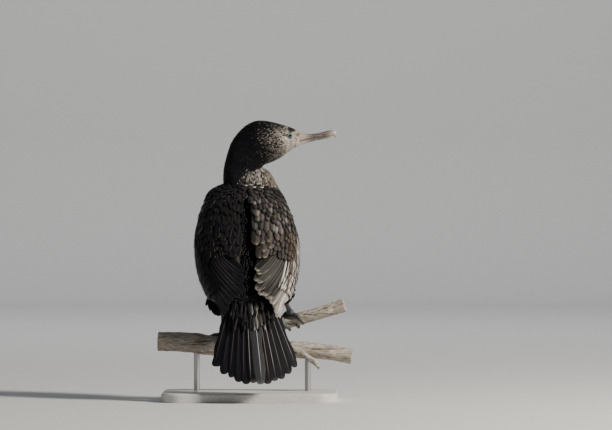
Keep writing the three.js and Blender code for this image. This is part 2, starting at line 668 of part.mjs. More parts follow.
const feet = Object.fromEntries(
  Object.entries(FEET).map(([name, foot]) => [name, largest(footSolid(foot).subtract(woodClear))]),
);
const shanks = Object.fromEntries(
  Object.entries(LEGS).map(([name, leg]) => {
    const clear = union([torsoClear, swollen(feet[name])]);
    return [name, largest(shank(leg).subtract(clear))];
  }),
);
const thighs = Object.fromEntries(
  Object.entries(LEGS).map(([name, leg]) => {
    const clear = union([torsoClear, swollen(shanks[name])]);
    return [name, largest(thigh(leg).subtract(clear))];
  }),
);
const bodyClear = union([torsoClear, swollen(neckSolid), swollen(thighs.left), swollen(thighs.right)]);
const wings = { left: largest(wing(-1).subtract(bodyClear)), right: largest(wing(1).subtract(bodyClear)) };
const tailSolid = largest(tail().subtract(union([bodyClear, swollen(wings.left), swollen(wings.right)])));
const rods = [ROD.leftX, ROD.rightX].map((x) => largest(rodSolid(x).subtract(limbClear)));

// Colours by material.
const plumage = new THREE.MeshStandardMaterial({ color: "#1b1a1e", roughness: 0.55, metalness: 0 });
const speckled = new THREE.MeshStandardMaterial({ color: "#8b8378", roughness: 0.75, metalness: 0 });
const vanes = new THREE.MeshStandardMaterial({ color: "#2b2728", roughness: 0.45, metalness: 0 });
const horn = new THREE.MeshStandardMaterial({ color: "#8d8079", roughness: 0.4, metalness: 0 });
const iris = new THREE.MeshStandardMaterial({ color: "#1f7a78", roughness: 0.1, metalness: 0 });
const legSkin = new THREE.MeshStandardMaterial({ color: "#16171a", roughness: 0.45, metalness: 0 });
const bark = new THREE.MeshStandardMaterial({ color: "#8a7a66", roughness: 0.85, metalness: 0 });
const stand = new THREE.MeshStandardMaterial({ color: "#d8d6d0", roughness: 0.6, metalness: 0 });
const steel = new THREE.MeshStandardMaterial({ color: "#a8a8a8", roughness: 0.35, metalness: 1 });

const group = new THREE.Group();
function add(name, made, material) {
  const mesh = made.getMesh();
  const geometry = new THREE.BufferGeometry();
  geometry.setAttribute("position", new THREE.BufferAttribute(mesh.vertProperties, 3));
  geometry.setIndex(new THREE.BufferAttribute(mesh.triVerts, 1));
  const node = new THREE.Mesh(geometry, material);
  node.name = name;
  group.add(node);
}

add("torso", torso, plumage);
add("neck", neckSolid, speckled);
add("head", headSolid, speckled);
add("bill_upper", billUpperSolid, horn);
add("bill_lower", billLowerSolid, horn);
add("eye_right", ball(EYE.radius, eyeYs.right), iris);
add("eye_left", ball(EYE.radius, eyeYs.left), iris);
add("wing_right", wings.right, vanes);
add("wing_left", wings.left, vanes);
add("tail", tailSolid, vanes);
for (const name of ["right", "left"]) {
  add(`thigh_${name}`, thighs[name], plumage);
  add(`leg_${name}`, shanks[name], legSkin);
  add(`foot_${name}`, feet[name], legSkin);
}
add("perch_limb", limb, bark);
add("perch_fork", fork, bark);
add("perch_twig", twig, bark);
add("stand_base", baseSolid(), stand);
add("stand_rod_left", rods[0], steel);
add("stand_rod_right", rods[1], steel);

export default group;
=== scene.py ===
"""Looks of a life-size still model of a little black cormorant on a cut forked branch over a display stand.

Every surface is a function of two parameters worked out as whole arrays: bodies are lofted between a back
line and a belly line, feathers are thin closed vanes laid over them, and branches, legs and toes are tubes
along a line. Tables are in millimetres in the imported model's own frame, and meshes are in metres.
"""

import logging
import math
from dataclasses import dataclass, field
from enum import Enum
from typing import Callable, Protocol, Sequence

import bpy
import numpy as np
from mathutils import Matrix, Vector
from numpy.typing import NDArray


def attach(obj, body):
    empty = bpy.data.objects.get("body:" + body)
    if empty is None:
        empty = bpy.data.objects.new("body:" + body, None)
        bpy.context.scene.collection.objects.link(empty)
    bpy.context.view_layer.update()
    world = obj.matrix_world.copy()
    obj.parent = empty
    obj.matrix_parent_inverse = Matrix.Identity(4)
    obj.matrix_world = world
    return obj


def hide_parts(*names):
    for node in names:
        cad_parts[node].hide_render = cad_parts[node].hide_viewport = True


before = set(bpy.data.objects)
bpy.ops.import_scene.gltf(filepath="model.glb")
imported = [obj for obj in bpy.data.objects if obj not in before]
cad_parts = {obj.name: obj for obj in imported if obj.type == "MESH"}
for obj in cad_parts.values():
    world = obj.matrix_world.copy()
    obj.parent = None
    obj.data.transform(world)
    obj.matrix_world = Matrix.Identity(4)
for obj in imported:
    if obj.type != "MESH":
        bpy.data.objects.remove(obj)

Array = NDArray[np.float64]
Faces = NDArray[np.int64]
Shape = Callable[[Array, Array], Array]
Rows = Sequence[Sequence[float]]
Place = tuple[float, float, float]
Triple = tuple[float, float, float]
Colour = tuple[float, float, float, float]
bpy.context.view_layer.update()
LOG = logging.getLogger("cormorant")
MM = 0.001
TURN = 2 * math.pi
PERCH_Y = 10.0

# Rows of a body: share along, two numbers for its back line, two for its belly line, half width and middle.
# A line's two numbers are y and z on the trunk, and x and z on the turned neck, head and bill.
PLUMAGE = (
    (-0.12, 62, 297, 100, 282, 30, -8),
    (0.0, 50, 293, 104, 262, 50, -8),
    (0.12, 36, 281, 112, 240, 58, -7.5),
    (0.25, 19, 262, 110, 214, 66, -6.5),
    (0.4, -1, 235, 92, 184, 70.5, -5),
    (0.55, -19, 209, 68, 153, 69, -3.5),
    (0.7, -36, 186, 38, 130, 64, -2),
    (0.85, -53, 163, 2, 116, 56, -0.5),
    (1.0, -71, 141, -52, 124, 47, 1),
    (1.12, -85, 121, -77, 113, 41, 2),
    (1.25, -98, 99, -92, 93, 34, 3),
)
TORSO = (
    (-0.12, 80, 291, 88, 289, 12, -8),
    (-0.09, 66, 297, 98, 281, 30, -8),
    (-0.04, 57, 296, 104, 270, 41, -8),
    (0.0, 51, 291, 105, 262, 46, -8),
    (0.12, 38, 278, 112, 240, 53, -7.5),
    (0.25, 22, 259, 110, 214, 60, -6.5),
    (0.4, 3, 232, 92, 184, 64, -5),
    (0.55, -15, 206, 68, 153, 62.5, -3.5),
    (0.7, -31, 183, 38, 130, 57, -2),
    (0.85, -47, 160, 2, 113, 47, -0.5),
    (0.95, -57, 146, -32, 112, 34, 0.5),
    (1.0, -61, 138, -50, 117, 22, 1),
)
LOWER_NECK = (
    (0.0, -20, 262, 46, 262, 30, 80),
    (0.3, -18, 280, 41, 281, 29, 79),
    (0.5, -15, 294, 35, 292.5, 27, 77),
    (0.7, -11, 306, 29, 304, 23.5, 75),
    (0.85, -5, 313, 23, 311, 19, 74),
    (1.0, 6, 317, 15, 316, 8, 73),
)
HEAD = (
    (0.0, -36, 281, 6, 278, 23, 72),
    (0.09, -37, 297, 9, 294, 21.5, 71),
    (0.18, -36.5, 312, 12, 307, 20, 69),
    (0.27, -33, 328, 14, 313, 19.5, 68),
    (0.36, -26.3, 348, 15.5, 316, 19, 67),
    (0.45, -16, 362.8, 17.5, 318, 18.6, 66),
    (0.53, -4, 373.3, 19.5, 319.3, 18.2, 65),
    (0.61, 9, 378.3, 23, 320.5, 17.8, 65),
    (0.69, 22, 377.9, 29, 322.6, 17, 65),
    (0.77, 34, 375.6, 36, 325.8, 16, 65),
    (0.84, 45, 372.4, 43.5, 330.2, 15, 65),
    (0.9, 54, 369.6, 51, 335.8, 13.4, 65),
    (0.95, 61.5, 366, 58.5, 341.2, 10.8, 65),
    (1.0, 68.5, 362.4, 66, 346.2, 7.6, 65),
)
UPPER_BILL = (
    (0.0, 64, 362.5, 64, 349.5, 7.2, 65),
    (0.16, 71.5, 362, 71.5, 351.8, 6.2, 65),
    (0.34, 81, 360.8, 81, 353.8, 4.6, 65),
    (0.54, 92, 362, 92, 355.9, 3.5, 65),
    (0.72, 102.5, 364.4, 102.5, 357.2, 3.3, 65),
    (0.83, 109, 366, 108.5, 357.8, 3.3, 65),
    (0.91, 115, 364.9, 112.6, 358.2, 2.6, 65),
    (0.96, 117.7, 360, 114.6, 357.2, 1.7, 65),
    (1.0, 117.6, 355.4, 116.4, 355, 0.8, 65),
)
LOWER_BILL = (
    (0.0, 62, 348.2, 61, 341.6, 7.4, 65),
    (0.2, 71.5, 351, 71, 346.6, 6, 65),
    (0.4, 81, 353.1, 81, 349.6, 4.3, 65),
    (0.65, 92, 355.2, 92, 352, 3.2, 65),
    (0.85, 102.5, 356.4, 102.8, 354.2, 2.7, 65),
    (1.0, 110.5, 357, 110.5, 356, 1.6, 65),
)
# Branches: x, y, z of the middle line and radius.
LIMB = (
    (-124, PERCH_Y + 4, 79, 12.6),
    (-84, PERCH_Y, 77.5, 13.4),
    (-46, PERCH_Y, 72.5, 13),
    (0, PERCH_Y, 69, 12.6),
    (64, PERCH_Y + 2, 68, 11.2),
    (104, PERCH_Y, 64.5, 10.4),
    (138, PERCH_Y - 4, 58.5, 10),
)
FORK = (
    (-24, PERCH_Y + 4, 68, 9),
    (2, PERCH_Y + 7, 83, 9),
    (28, PERCH_Y + 9, 96, 8.6),
    (55, PERCH_Y + 8, 106, 8.1),
    (92, PERCH_Y + 4, 116.5, 8.4),
    (128, PERCH_Y, 128, 8.8),
)
TWIG = (
    (58, PERCH_Y - 4, 68, 4.4),
    (72, PERCH_Y - 12, 62, 4),
    (84, PERCH_Y - 15, 54, 3.7),
    (95, PERCH_Y - 16, 44, 3.5),
)
EYE_CENTRE = (54.6, 56.6, 357.8)
EYE_RADIUS = 4.7
HEAD_DEPTH = 65.0
# Height where the head's markings give way to those of the lower neck.
CHIN_Z = 318.0
# Sizes of the shrinking rings that close a tube's end, from its middle out.
CAP_RINGS = (0.02, 0.5, 0.85)
# Half width of a raised shaft, as a share of half the vane.
KEEL = 0.16


def hermite(rows: Rows, at: Array) -> Array:
    """Smooth curve through rows: between two rows a cubic whose end slopes are those across their neighbours.

    Args:
        rows: each a share followed by values, shares rising.
        at: any shape of shares.

    Returns:
        The values at those shares, with one more axis.
    """
    table = np.asarray(rows, float)
    x, y = table[:, 0], table[:, 1:]
    at = np.clip(np.asarray(at, float), x[0], x[-1])
    low = np.clip(np.searchsorted(x, at, side="right") - 1, 0, len(x) - 2)
    before, after = np.maximum(np.arange(len(x)) - 1, 0), np.minimum(np.arange(len(x)) + 1, len(x) - 1)
    slope = (y[after] - y[before]) / (x[after] - x[before])[:, None]
    run = (x[low + 1] - x[low])[..., None]
    t = (at - x[low])[..., None] / run
    rise = y[low + 1] - y[low]
    m0, m1 = slope[low] * run, slope[low + 1] * run
    return y[low] + t * (m0 + t * (3 * rise - 2 * m0 - m1 + t * (m0 + m1 - 2 * rise)))


def unit(v: Array) -> Array:
    """The vectors along the last axis, each made one long."""
    return v / np.maximum(np.linalg.norm(v, axis=-1, keepdims=True), 1e-12)


def ease(low: float, high: float, x: Array) -> Array:
    """Smooth step: 0 below low, 1 above high, and 3t^2 - 2t^3 between."""
    t = np.clip((np.asarray(x, float) - low) / (high - low), 0, 1)
    return t * t * (3 - 2 * t)


def waves(points: Array, size: float, seed: int) -> Array:
    """Cheap smooth noise from -1 to 1: the mean of five sines of the place along seeded directions.

    Args:
        points: places in millimetres, last axis of three.
        size: length of a typical wave in millimetres.
        seed: which noise.

    Returns:
        One number for each place.
    """
    rng = np.random.default_rng(seed)
    directions = unit(rng.normal(size=(5, 3))) * (TURN / size) * rng.uniform(0.6, 1.7, (5, 1))
    phases = rng.uniform(0, TURN, 5)
    return np.sin(points @ directions.T + phases).mean(-1) * 1.8


class Surface(Protocol):
    """Anything that feathers or scales can lie on."""

    def point(self, a: Array, b: Array, height: Array | float = 0.0) -> Array:
        """Places in millimetres for two parameters and a height over the surface."""
        ...


class Plane(Enum):
    """The plane that a body's back and belly lines lie in."""

    BODY = "yz"
    TURNED = "xz"


@dataclass(frozen=True)
class Loft:
    """A body between a back line and a belly line.

    The ring at a share has its middle halfway between the lines. Its height goes with cos(angle) and its
    width with sin(angle), each raised to the roundness, and angle 0 is the back.
    """

    rows: Rows
    plane: Plane
    roundness: float = 0.92

    def point(self, a: Array, b: Array, height: Array | float = 0.0) -> Array:
        """Places on the body.

        Args:
            a: share along the rows.
            b: angle from the back towards the bird's right, in radians.
            height: millimetres out from the surface.

        Returns:
            Places in millimetres.
        """
        top_a, top_z, low_a, low_z, wide, middle = np.moveaxis(hermite(self.rows, a), -1, 0)
        half = np.maximum(np.hypot(top_a - low_a, top_z - low_z) / 2, 1e-3)
        cos, sin = np.cos(b), np.sin(b)
        lift = (half + height) * np.sign(cos) * np.abs(cos) ** self.roundness / half / 2
        side = (wide + height) * np.sign(sin) * np.abs(sin) ** self.roundness
        along = (top_a + low_a) / 2 + (top_a - low_a) * lift
        z = (top_z + low_z) / 2 + (top_z - low_z) * lift
        if self.plane is Plane.BODY:
            return np.stack([middle + side, along, z], -1)
        return np.stack([along, middle - side, z], -1)


@dataclass(frozen=True)
class TailPlane:
    """The tail's curved plane: a straight run from root to tip that arches down towards both sides."""

    root: Place = (1.0, -54.0, 139.0)
    tip: Place = (11.0, -123.0, 28.0)
    arch: float = 7.0
    half: float = 52.5

    def point(self, a: Array, b: Array, height: Array | float = 0.0) -> Array:
        """Places on the tail.

        Args:
            a: share of the way from root to tip.
            b: millimetres to the bird's right.
            height: millimetres out from the upper side.

        Returns:
            Places in millimetres: root + run * a + side * b + out * (height - arch * (b / half)^2).
        """
        run = np.subtract(self.tip, self.root)
        out = unit(np.cross(run, (1.0, 0.0, 0.0)))
        a, b = np.asarray(a, float), np.asarray(b, float)
        lift = height - self.arch * (b / self.half) ** 2
        place = np.asarray(self.root) + a[..., None] * run + lift[..., None] * out
        place[..., 0] += b
        return place


@dataclass(frozen=True)
class Bough:
    """A branch, or a thigh: a tube whose middle line and radius follow its rows."""

    rows: Rows

    def frame(self, a: Array) -> tuple[Array, Array, Array, Array, Array]:
        """The tube's own directions: near is forward cross upright, and up is near cross forward.

        Args:
            a: shares along the tube.

        Returns:
            Middle, forward, near and up directions, and radius.
        """
        count = len(self.rows) - 1
        table = [(i / count, *row) for i, row in enumerate(self.rows)]
        here = hermite(table, a)
        ahead = hermite(table, np.minimum(np.asarray(a) + 0.01, 1))[..., :3]
        behind = hermite(table, np.maximum(np.asarray(a) - 0.01, 0))[..., :3]
        forward = unit(ahead - behind)
        near = unit(np.cross(forward, (0.0, 0.0, 1.0)))
        return here[..., :3], forward, near, unit(np.cross(near, forward)), here[..., 3]

    def point(self, a: Array, b: Array, height: Array | float = 0.0) -> Array:
        """Places on the tube: middle + (radius + height) * (up * cos b + near * sin b).

        Args:
            a: share along the tube.
            b: angle round it from its upper side, in radians.
            height: millimetres out from the surface.

        Returns:
            Places in millimetres.
        """
        middle, _, near, up, radius = self.frame(a)
        reach = (radius + height)[..., None]
        return middle + reach * (up * np.cos(b)[..., None] + near * np.sin(b)[..., None])


@dataclass
class Sheet:
    """Arrays of one mesh: corners in millimetres, faces, and what each corner or face corner carries."""

    points: Array
    faces: Faces
    colours: dict[str, Array] = field(default_factory=dict)
    maps: dict[str, Array] = field(default_factory=dict)


def grid_faces(rows: int, columns: int, wrap: bool = False, close: bool = False) -> Faces:
    """Four-cornered faces of a grid of points numbered row by row.

    Args:
        rows: how many rows of points.
        columns: how many points in a row.
        wrap: whether the last column joins the first.
        close: whether the last row joins the first.

    Returns:
        Faces, wound so that rows cross columns points out.
    """
    down = np.arange(rows if close else rows - 1)
    right = np.arange(columns if wrap else columns - 1)
    i, j = (grid.ravel() for grid in np.meshgrid(down, right, indexing="ij"))
    p, q = (i + 1) % rows, (j + 1) % columns
    return np.stack([i * columns + j, p * columns + j, p * columns + q, i * columns + q], -1)


def outward(points: Array, faces: Faces) -> Faces:
    """Faces of a closed mesh turned so that it encloses a positive volume.

    Six times the volume is the sum of a . (b x c) + a . (c x d) over its faces a, b, c, d.

    Args:
        points: corners of the mesh.
        faces: its four-cornered faces, all wound the same way.

    Returns:
        The faces as they are, or wound the other way.
    """
    a, b, c, d = (points[faces[:, k]] for k in range(4))
    volume = np.einsum("ij,ij->i", a, np.cross(b, c)).sum()
    volume += np.einsum("ij,ij->i", a, np.cross(c, d)).sum()
    return faces if volume > 0 else faces[:, ::-1]


def tube(surface: Shape, rings: int, sides: int, close: bool = False) -> Sheet:
    """A tube: a grid of rings, with both ends drawn in by shrinking rings to a fiftieth of their size.

    Args:
        surface: places for shares along, and angles round, both as grids.
        rings: how many rings.
        sides: points in a ring.
        close: whether the last ring meets the first, in place of two ends.

    Returns:
        Points and faces, faces out, and a map named Wrap of share along and share round.
    """
    share = np.arange(rings) / rings if close else np.linspace(0, 1, rings)
    angle = np.arange(sides) * TURN / sides
    body = surface(*np.meshgrid(share, angle, indexing="ij"))
    if not close:
        ends = []
        for ring in (body[0], body[-1]):
            middle = ring.mean(0)
            ends.append([middle + (ring - middle) * size for size in CAP_RINGS])
        body = np.stack([*ends[0], *body, *ends[1][::-1]])
        share = np.concatenate([np.zeros(len(CAP_RINGS)), share, np.ones(len(CAP_RINGS))])
    points = body.reshape(-1, 3)
    faces = outward(points, grid_faces(len(body), sides, True, close))
    wrap = np.stack(np.broadcast_arrays(share[:, None], (angle / TURN)[None, :]), -1).reshape(-1, 2)
    return Sheet(points, faces, maps={"Wrap": wrap})


def slab(top: Array, low: Array) -> Sheet:
    """A closed slab between two grids of places, with a band of faces round their rims.

    Args:
        top: places of one side, rows by columns.
        low: places of the other side, in the same grid.

    Returns:
        Points and faces, faces out.
    """
    rows, columns = top.shape[:2]
    size = rows * columns
    points = np.concatenate([top.reshape(-1, 3), low.reshape(-1, 3)])
    quads = grid_faces(rows, columns)
    rim = np.concatenate([
        np.arange(columns),
        np.arange(1, rows) * columns + columns - 1,
        (rows - 1) * columns + np.arange(columns - 2, -1, -1),
        np.arange(rows - 2, 0, -1) * columns,
    ])
    follow = np.roll(rim, -1)
    band = np.stack([rim, follow, follow + size, rim + size], -1)
    return Sheet(points, outward(points, np.concatenate([quads, quads[:, ::-1] + size, band])))


def joined(sheets: Sequence[Sheet]) -> Sheet:
    """Several sheets as one, without their colours and maps.

    Args:
        sheets: what is joined.

    Returns:
        One sheet, with each sheet's points after those of the one before.
    """
    starts = np.cumsum([0, *[len(sheet.points) for sheet in sheets[:-1]]])
    faces = [sheet.faces + start for sheet, start in zip(sheets, starts)]
    return Sheet(np.concatenate([sheet.points for sheet in sheets]), np.concatenate(faces))


def paint(mesh: bpy.types.Mesh, name: str, values: Array) -> None:
    """Stores one colour per vertex.

    Args:
        mesh: what is painted.
        name: the attribute's name.
        values: red, green and blue, one row per vertex.
    """
    layer = mesh.color_attributes.new(name=name, type="FLOAT_COLOR", domain="POINT")
    full = np.concatenate([values, np.ones((len(values), 1))], 1)
    layer.data.foreach_set("color", full.astype(np.float32).ravel())


def mesh_object(name: str, sheet: Sheet, material: bpy.types.Material) -> bpy.types.Object:
    """Puts a sheet into a Blender object in metres and rides it on the model's one body.

    Args:
        name: the piece's name.
        sheet: its arrays.
        material: its finish.

    Returns:
        The new object, at the origin.
    """
    mesh = bpy.data.meshes.new(name)
    points = np.ascontiguousarray(sheet.points * MM, np.float32)
    faces = sheet.faces
    mesh.vertices.add(len(points))
    mesh.vertices.foreach_set("co", points.ravel())
    mesh.loops.add(faces.size)
    mesh.loops.foreach_set("vertex_index", faces.ravel().astype(np.int32))
    mesh.polygons.add(len(faces))
    mesh.polygons.foreach_set("loop_start", np.arange(0, faces.size, 4, dtype=np.int32))
    mesh.polygons.foreach_set("use_smooth", np.full(len(faces), True))
    mesh.update(calc_edges=True)
    for title, values in sheet.maps.items():
        layer = mesh.uv_layers.new(name=title)
        layer.uv.foreach_set("vector", values[faces.ravel()].astype(np.float32).ravel())
    for title, values in sheet.colours.items():
        paint(mesh, title, values)
    mesh.materials.append(material)
    piece = bpy.data.objects.new(name, mesh)
    bpy.context.scene.collection.objects.link(piece)
    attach(piece, "root")
    LOG.info("%s: %d triangles", name, 2 * len(faces))
    return piece


class Cut(Enum):
    """Outlines of a vane, as rows of share along and share of the width."""

    BODY = ((0.0, 0.35), (0.35, 0.95), (0.65, 1.0), (0.87, 0.72), (1.0, 0.14))
    SCALE = ((0.0, 0.5), (0.3, 0.92), (0.62, 1.0), (0.8, 0.9), (0.92, 0.62), (0.975, 0.36), (1.0, 0.1))
    QUILL = ((0.0, 0.42), (0.25, 0.85), (0.7, 1.0), (0.88, 0.86), (0.955, 0.6), (0.985, 0.38), (1.0, 0.14))
    BLUNT = ((0.0, 0.42), (0.25, 0.85), (0.7, 1.0), (0.93, 0.92), (0.972, 0.72), (0.992, 0.5), (1.0, 0.22))
    POINT = ((0.0, 0.4), (0.25, 0.9), (0.55, 1.0), (0.8, 0.7), (0.93, 0.38), (1.0, 0.06))


@dataclass
class Vanes:
    """A batch of vanes on one surface. Each array has one entry, or one row, per vane.

    Root and tip are in the surface's two parameters, and lengths are in millimetres. The height over the
    surface goes from sunk to lifted, roll tilts it across, cup lowers both edges, and shaft raises a keel at
    shaft_side. Bow curves the middle line, ragged waves the edges, and cut is the outline. A vane is a grid
    of stations by columns, and patch is its size in the bake map where it has no strip of its own.
    """

    root: Array
    tip: Array
    width: Array
    tint: Array
    fringe: Array
    sunk: Array | float = -0.8
    lifted: Array | float = 0.5
    roll: Array | float = 0.0
    bow: Array | float = 0.0
    cup: float = 0.12
    thick: float = 0.25
    shaft: float = 0.0
    shaft_side: Array | float = 0.0
    ragged: float = 0.0
    cut: Cut = Cut.BODY
    stations: int = 5
    columns: int = 3
    patch: float = 0.003
    seed: int = 1


def stations_of(count: int) -> Array:
    """Shares along a vane, closer together towards its tip: 1 - (1 - t)^1.5."""
    return 1 - (1 - np.linspace(0, 1, count)) ** 1.5


def spots(batch: Vanes, count: int, atlas: bool) -> tuple[Array, Array]:
    """Corner and size of each vane's place in the bake map.

    Args:
        batch: the vanes.
        count: how many.
        atlas: whether each gets a strip of its own, in place of a small patch where its root lies.

    Returns:
        One corner per vane, and the size of every place.
    """
    if atlas:
        slender, fill, margin = 4, 0.94, 0.03
        lines = math.ceil(math.sqrt(count / slender))
        cells = math.ceil(count / lines)
        corner = np.stack([np.arange(count) % cells / cells, np.arange(count) // cells / lines], -1)
        size = np.array([fill / cells, fill / lines])
        return corner + margin * size, size
    low, extent = batch.root.min(0), np.ptp(batch.root, 0) + 1e-6
    corner = (batch.root - low) / extent * (1 - 2 * batch.patch) + batch.patch / 2
    return corner, np.array([batch.patch, batch.patch])


def lens_faces(rows: int, columns: int) -> tuple[Faces, NDArray[np.bool_]]:
    """Faces of one vane: an upper grid, and an under grid that shares its rim.

    Args:
        rows: stations along the vane.
        columns: points across it.

    Returns:
        Faces of both sides, and which places of the grid have a corner of their own underneath.
    """
    inner = np.zeros((rows, columns), bool)
    inner[1:-1, 1:-1] = True
    under = np.arange(rows * columns).reshape(rows, columns)
    under[inner] = rows * columns + np.arange(inner.sum())
    quads = grid_faces(rows, columns)
    return np.concatenate([quads, under.ravel()[quads][:, ::-1]]), inner


def lay(surface: Surface, batch: Vanes, atlas: bool = False) -> Sheet:
    """Lays vanes over a surface.

    A vane's middle line runs in the surface's parameters from root to tip. Each station's crosswise step is
    the surface direction square to that line, solved from the two parameter derivatives. The height rises
    from sunk to lifted along the vane, falls to both edges with the square of the distance, tilts by roll,
    and swells over the shaft. The under side shares the rim, so that a vane is a closed lens.

    Args:
        surface: what the vanes lie on.
        batch: the vanes.
        atlas: whether each vane gets a strip of its own in the bake map, in place of a small patch.

    Returns:
        One sheet with all vanes, colours Tint and Fringe, and maps Vane and OFBake.
    """
    count, rows, columns = len(batch.root), batch.stations, batch.columns
    rng = np.random.default_rng(batch.seed)

    def each(value: Array | float) -> Array:
        """One number per vane."""
        return np.broadcast_to(value, (count,))

    t = stations_of(rows)
    across = np.linspace(-1, 1, columns)
    run = batch.tip - batch.root
    bow = each(batch.bow)[:, None]
    a = batch.root[:, :1] + run[:, :1] * t
    b = batch.root[:, 1:] + run[:, 1:] * (t + bow * t * (1 - t))
    # The crosswise step of one millimetre, in both parameters.
    step = 1e-3
    here = surface.point(a, b, 0.0)
    along_a = (surface.point(a + step, b, 0.0) - here) / step
    along_b = (surface.point(a, b + step, 0.0) - here) / step
    forward = along_a * run[:, :1, None] + along_b * (run[:, 1:] * (1 + bow * (1 - 2 * t)))[..., None]
    side = unit(np.cross(np.cross(along_a, along_b), forward))
    side *= np.where(np.einsum("nsk,nsk->ns", side, along_b) < 0, -1.0, 1.0)[..., None]
    pairs = ((along_a, along_a), (along_a, along_b), (along_b, along_b), (along_a, side), (along_b, side))
    aa, ab, bb, ca, cb = (np.einsum("nsk,nsk->ns", p, q) for p, q in pairs)
    det = np.maximum(aa * bb - ab * ab, 1e-9)
    step_a, step_b = (ca * bb - cb * ab) / det, (cb * aa - ca * ab) / det
    # Distances from the middle line, and heights.
    wide = hermite(batch.cut.value, t)[:, 0] * batch.width[:, None] / 2
    wave = rng.uniform(0, TURN, (count, 1, 1)) + t[:, None] * rng.uniform(9, 22, (count, 1, 1))
    offset = wide[:, :, None] * across * (1 + batch.ragged * np.sin(wave) * np.abs(across) ** 3)
    rise = each(batch.sunk)[:, None] * (1 - t) + each(batch.lifted)[:, None] * t
    rise = rise[:, :, None] + each(batch.roll)[:, None, None] * offset
    rise = rise - 4 * batch.cup * offset**2 / batch.width[:, None, None]
    shaft = each(batch.shaft_side)[:, None, None]
    rise = rise + batch.shaft * np.exp(-(((across - shaft) / KEEL) ** 2)) * (1 - 0.8 * t[:, None])
    rim = (1 - across**2) * np.sin(np.clip(t, 0.02, 1) * math.pi * 0.98)[:, None]
    on_a, on_b = a[..., None] + offset * step_a[..., None], b[..., None] + offset * step_b[..., None]
    top = surface.point(on_a, on_b, rise)
    low = surface.point(on_a, on_b, rise - batch.thick * rim)
    # The same faces for every vane, turned out.
    one, inner = lens_faces(rows, columns)
    facing = np.cross(top[0, 1, 0] - top[0, 0, 0], top[0, 0, 1] - top[0, 0, 0])
    up = surface.point(a[:1, :1], b[:1, :1], 1.0)[0, 0] - here[0, 0]
    if facing @ up < 0:
        one = one[:, ::-1]
    points = np.concatenate([top.reshape(count, -1, 3), low[:, inner]], 1)
    per = points.shape[1]
    faces = (one[None] + (np.arange(count) * per)[:, None, None]).reshape(-1, 4)
    # Place across and along each vane, with the shaft at a half.
    from_shaft = across - shaft
    u = 0.5 + 0.5 * from_shaft / np.where(from_shaft < 0, 1 + shaft, 1 - shaft)
    u = np.broadcast_to(u, (count, rows, columns))
    v = np.broadcast_to(t[None, :, None], (count, rows, columns))
    local = np.stack([u, v], -1)
    local = np.concatenate([local.reshape(count, -1, 2), local[:, inner]], 1)
    corner, size = spots(batch, count, atlas)
    colours = {
        "Tint": np.repeat(batch.tint[:, None], per, 1).reshape(-1, 3),
        "Fringe": np.repeat(batch.fringe[:, None], per, 1).reshape(-1, 3),
    }
    maps = {"OFBake": (corner[:, None] + local * size).reshape(-1, 2), "Vane": local.reshape(-1, 2)}
    return Sheet(points.reshape(-1, 3), faces, colours, maps)


@dataclass
class Field:
    """Rows of roots spread evenly over part of a surface, every other row shifted by half a step."""

    along: tuple[float, float]
    around: tuple[float, float]
    rows: int
    columns: int
    seed: int
    jitter: float = 0.35

    def roots(self) -> Array:
        """Places of the roots: even steps, each moved by up to jitter of a step either way.

        Returns:
            Two parameters for each root.
        """
        rng = np.random.default_rng(self.seed)
        i, j = np.meshgrid(np.arange(self.rows), np.arange(self.columns), indexing="ij")
        a = (i + self.jitter * rng.uniform(-1, 1, i.shape)) / max(self.rows - 1, 1)
        b = (j + 0.5 * (i % 2) + self.jitter * rng.uniform(-1, 1, i.shape)) / self.columns
        low, high = self.along
        left, right = self.around
        return np.stack([low + (high - low) * a, left + (right - left) * b], -1).reshape(-1, 2)


def pace(surface: Surface, roots: Array, at: Array) -> Array:
    """Millimetres that one share along a surface covers, from a step of a thousandth.

    Args:
        surface: what is walked on.
        roots: two parameters, one row each.
        at: their places.

    Returns:
        One length for each root.
    """
    step = 1e-3
    return np.linalg.norm(surface.point(roots[:, 0] + step, roots[:, 1]) - at, axis=-1) / step


def mix(a: Array, b: Array, share: Array) -> Array:
    """Colour a with share of colour b, share by share."""
    share = np.asarray(share)[..., None]
    return a * (1 - share) + b * share


# Linear colours.
INK = np.array([0.0048, 0.0052, 0.0085])
SOOT = np.array([0.011, 0.0098, 0.0105])
UMBER = np.array([0.078, 0.056, 0.042])
CREAM = np.array([0.43, 0.385, 0.325])
BEIGE = np.array([0.34, 0.265, 0.20])
CHALK = np.array([0.62, 0.59, 0.55])
BRONZE = np.array([0.085, 0.073, 0.067])
OLIVE = np.array([0.080, 0.078, 0.070])
TAN = np.array([0.15, 0.105, 0.07])
# NAVY's blue tint is partly the plumage's dark slate and partly a painted blue sheen of the glossy feathers.
NAVY = np.array([0.0098, 0.0100, 0.0150])


@dataclass(frozen=True)
class Mark:
    """A soft oval mark on both sides of the head: full within inner and gone beyond outer, in millimetres."""

    x: float
    z: float
    outer: float
    inner: float
    squeeze_x: float = 1.0
    squeeze_z: float = 1.0

    def share(self, x: Array, z: Array) -> Array:
        """How strongly the mark shows at places seen from the side."""
        away = np.hypot((x - self.x) * self.squeeze_x, (z - self.z) * self.squeeze_z)
        return ease(self.outer, self.inner, away)


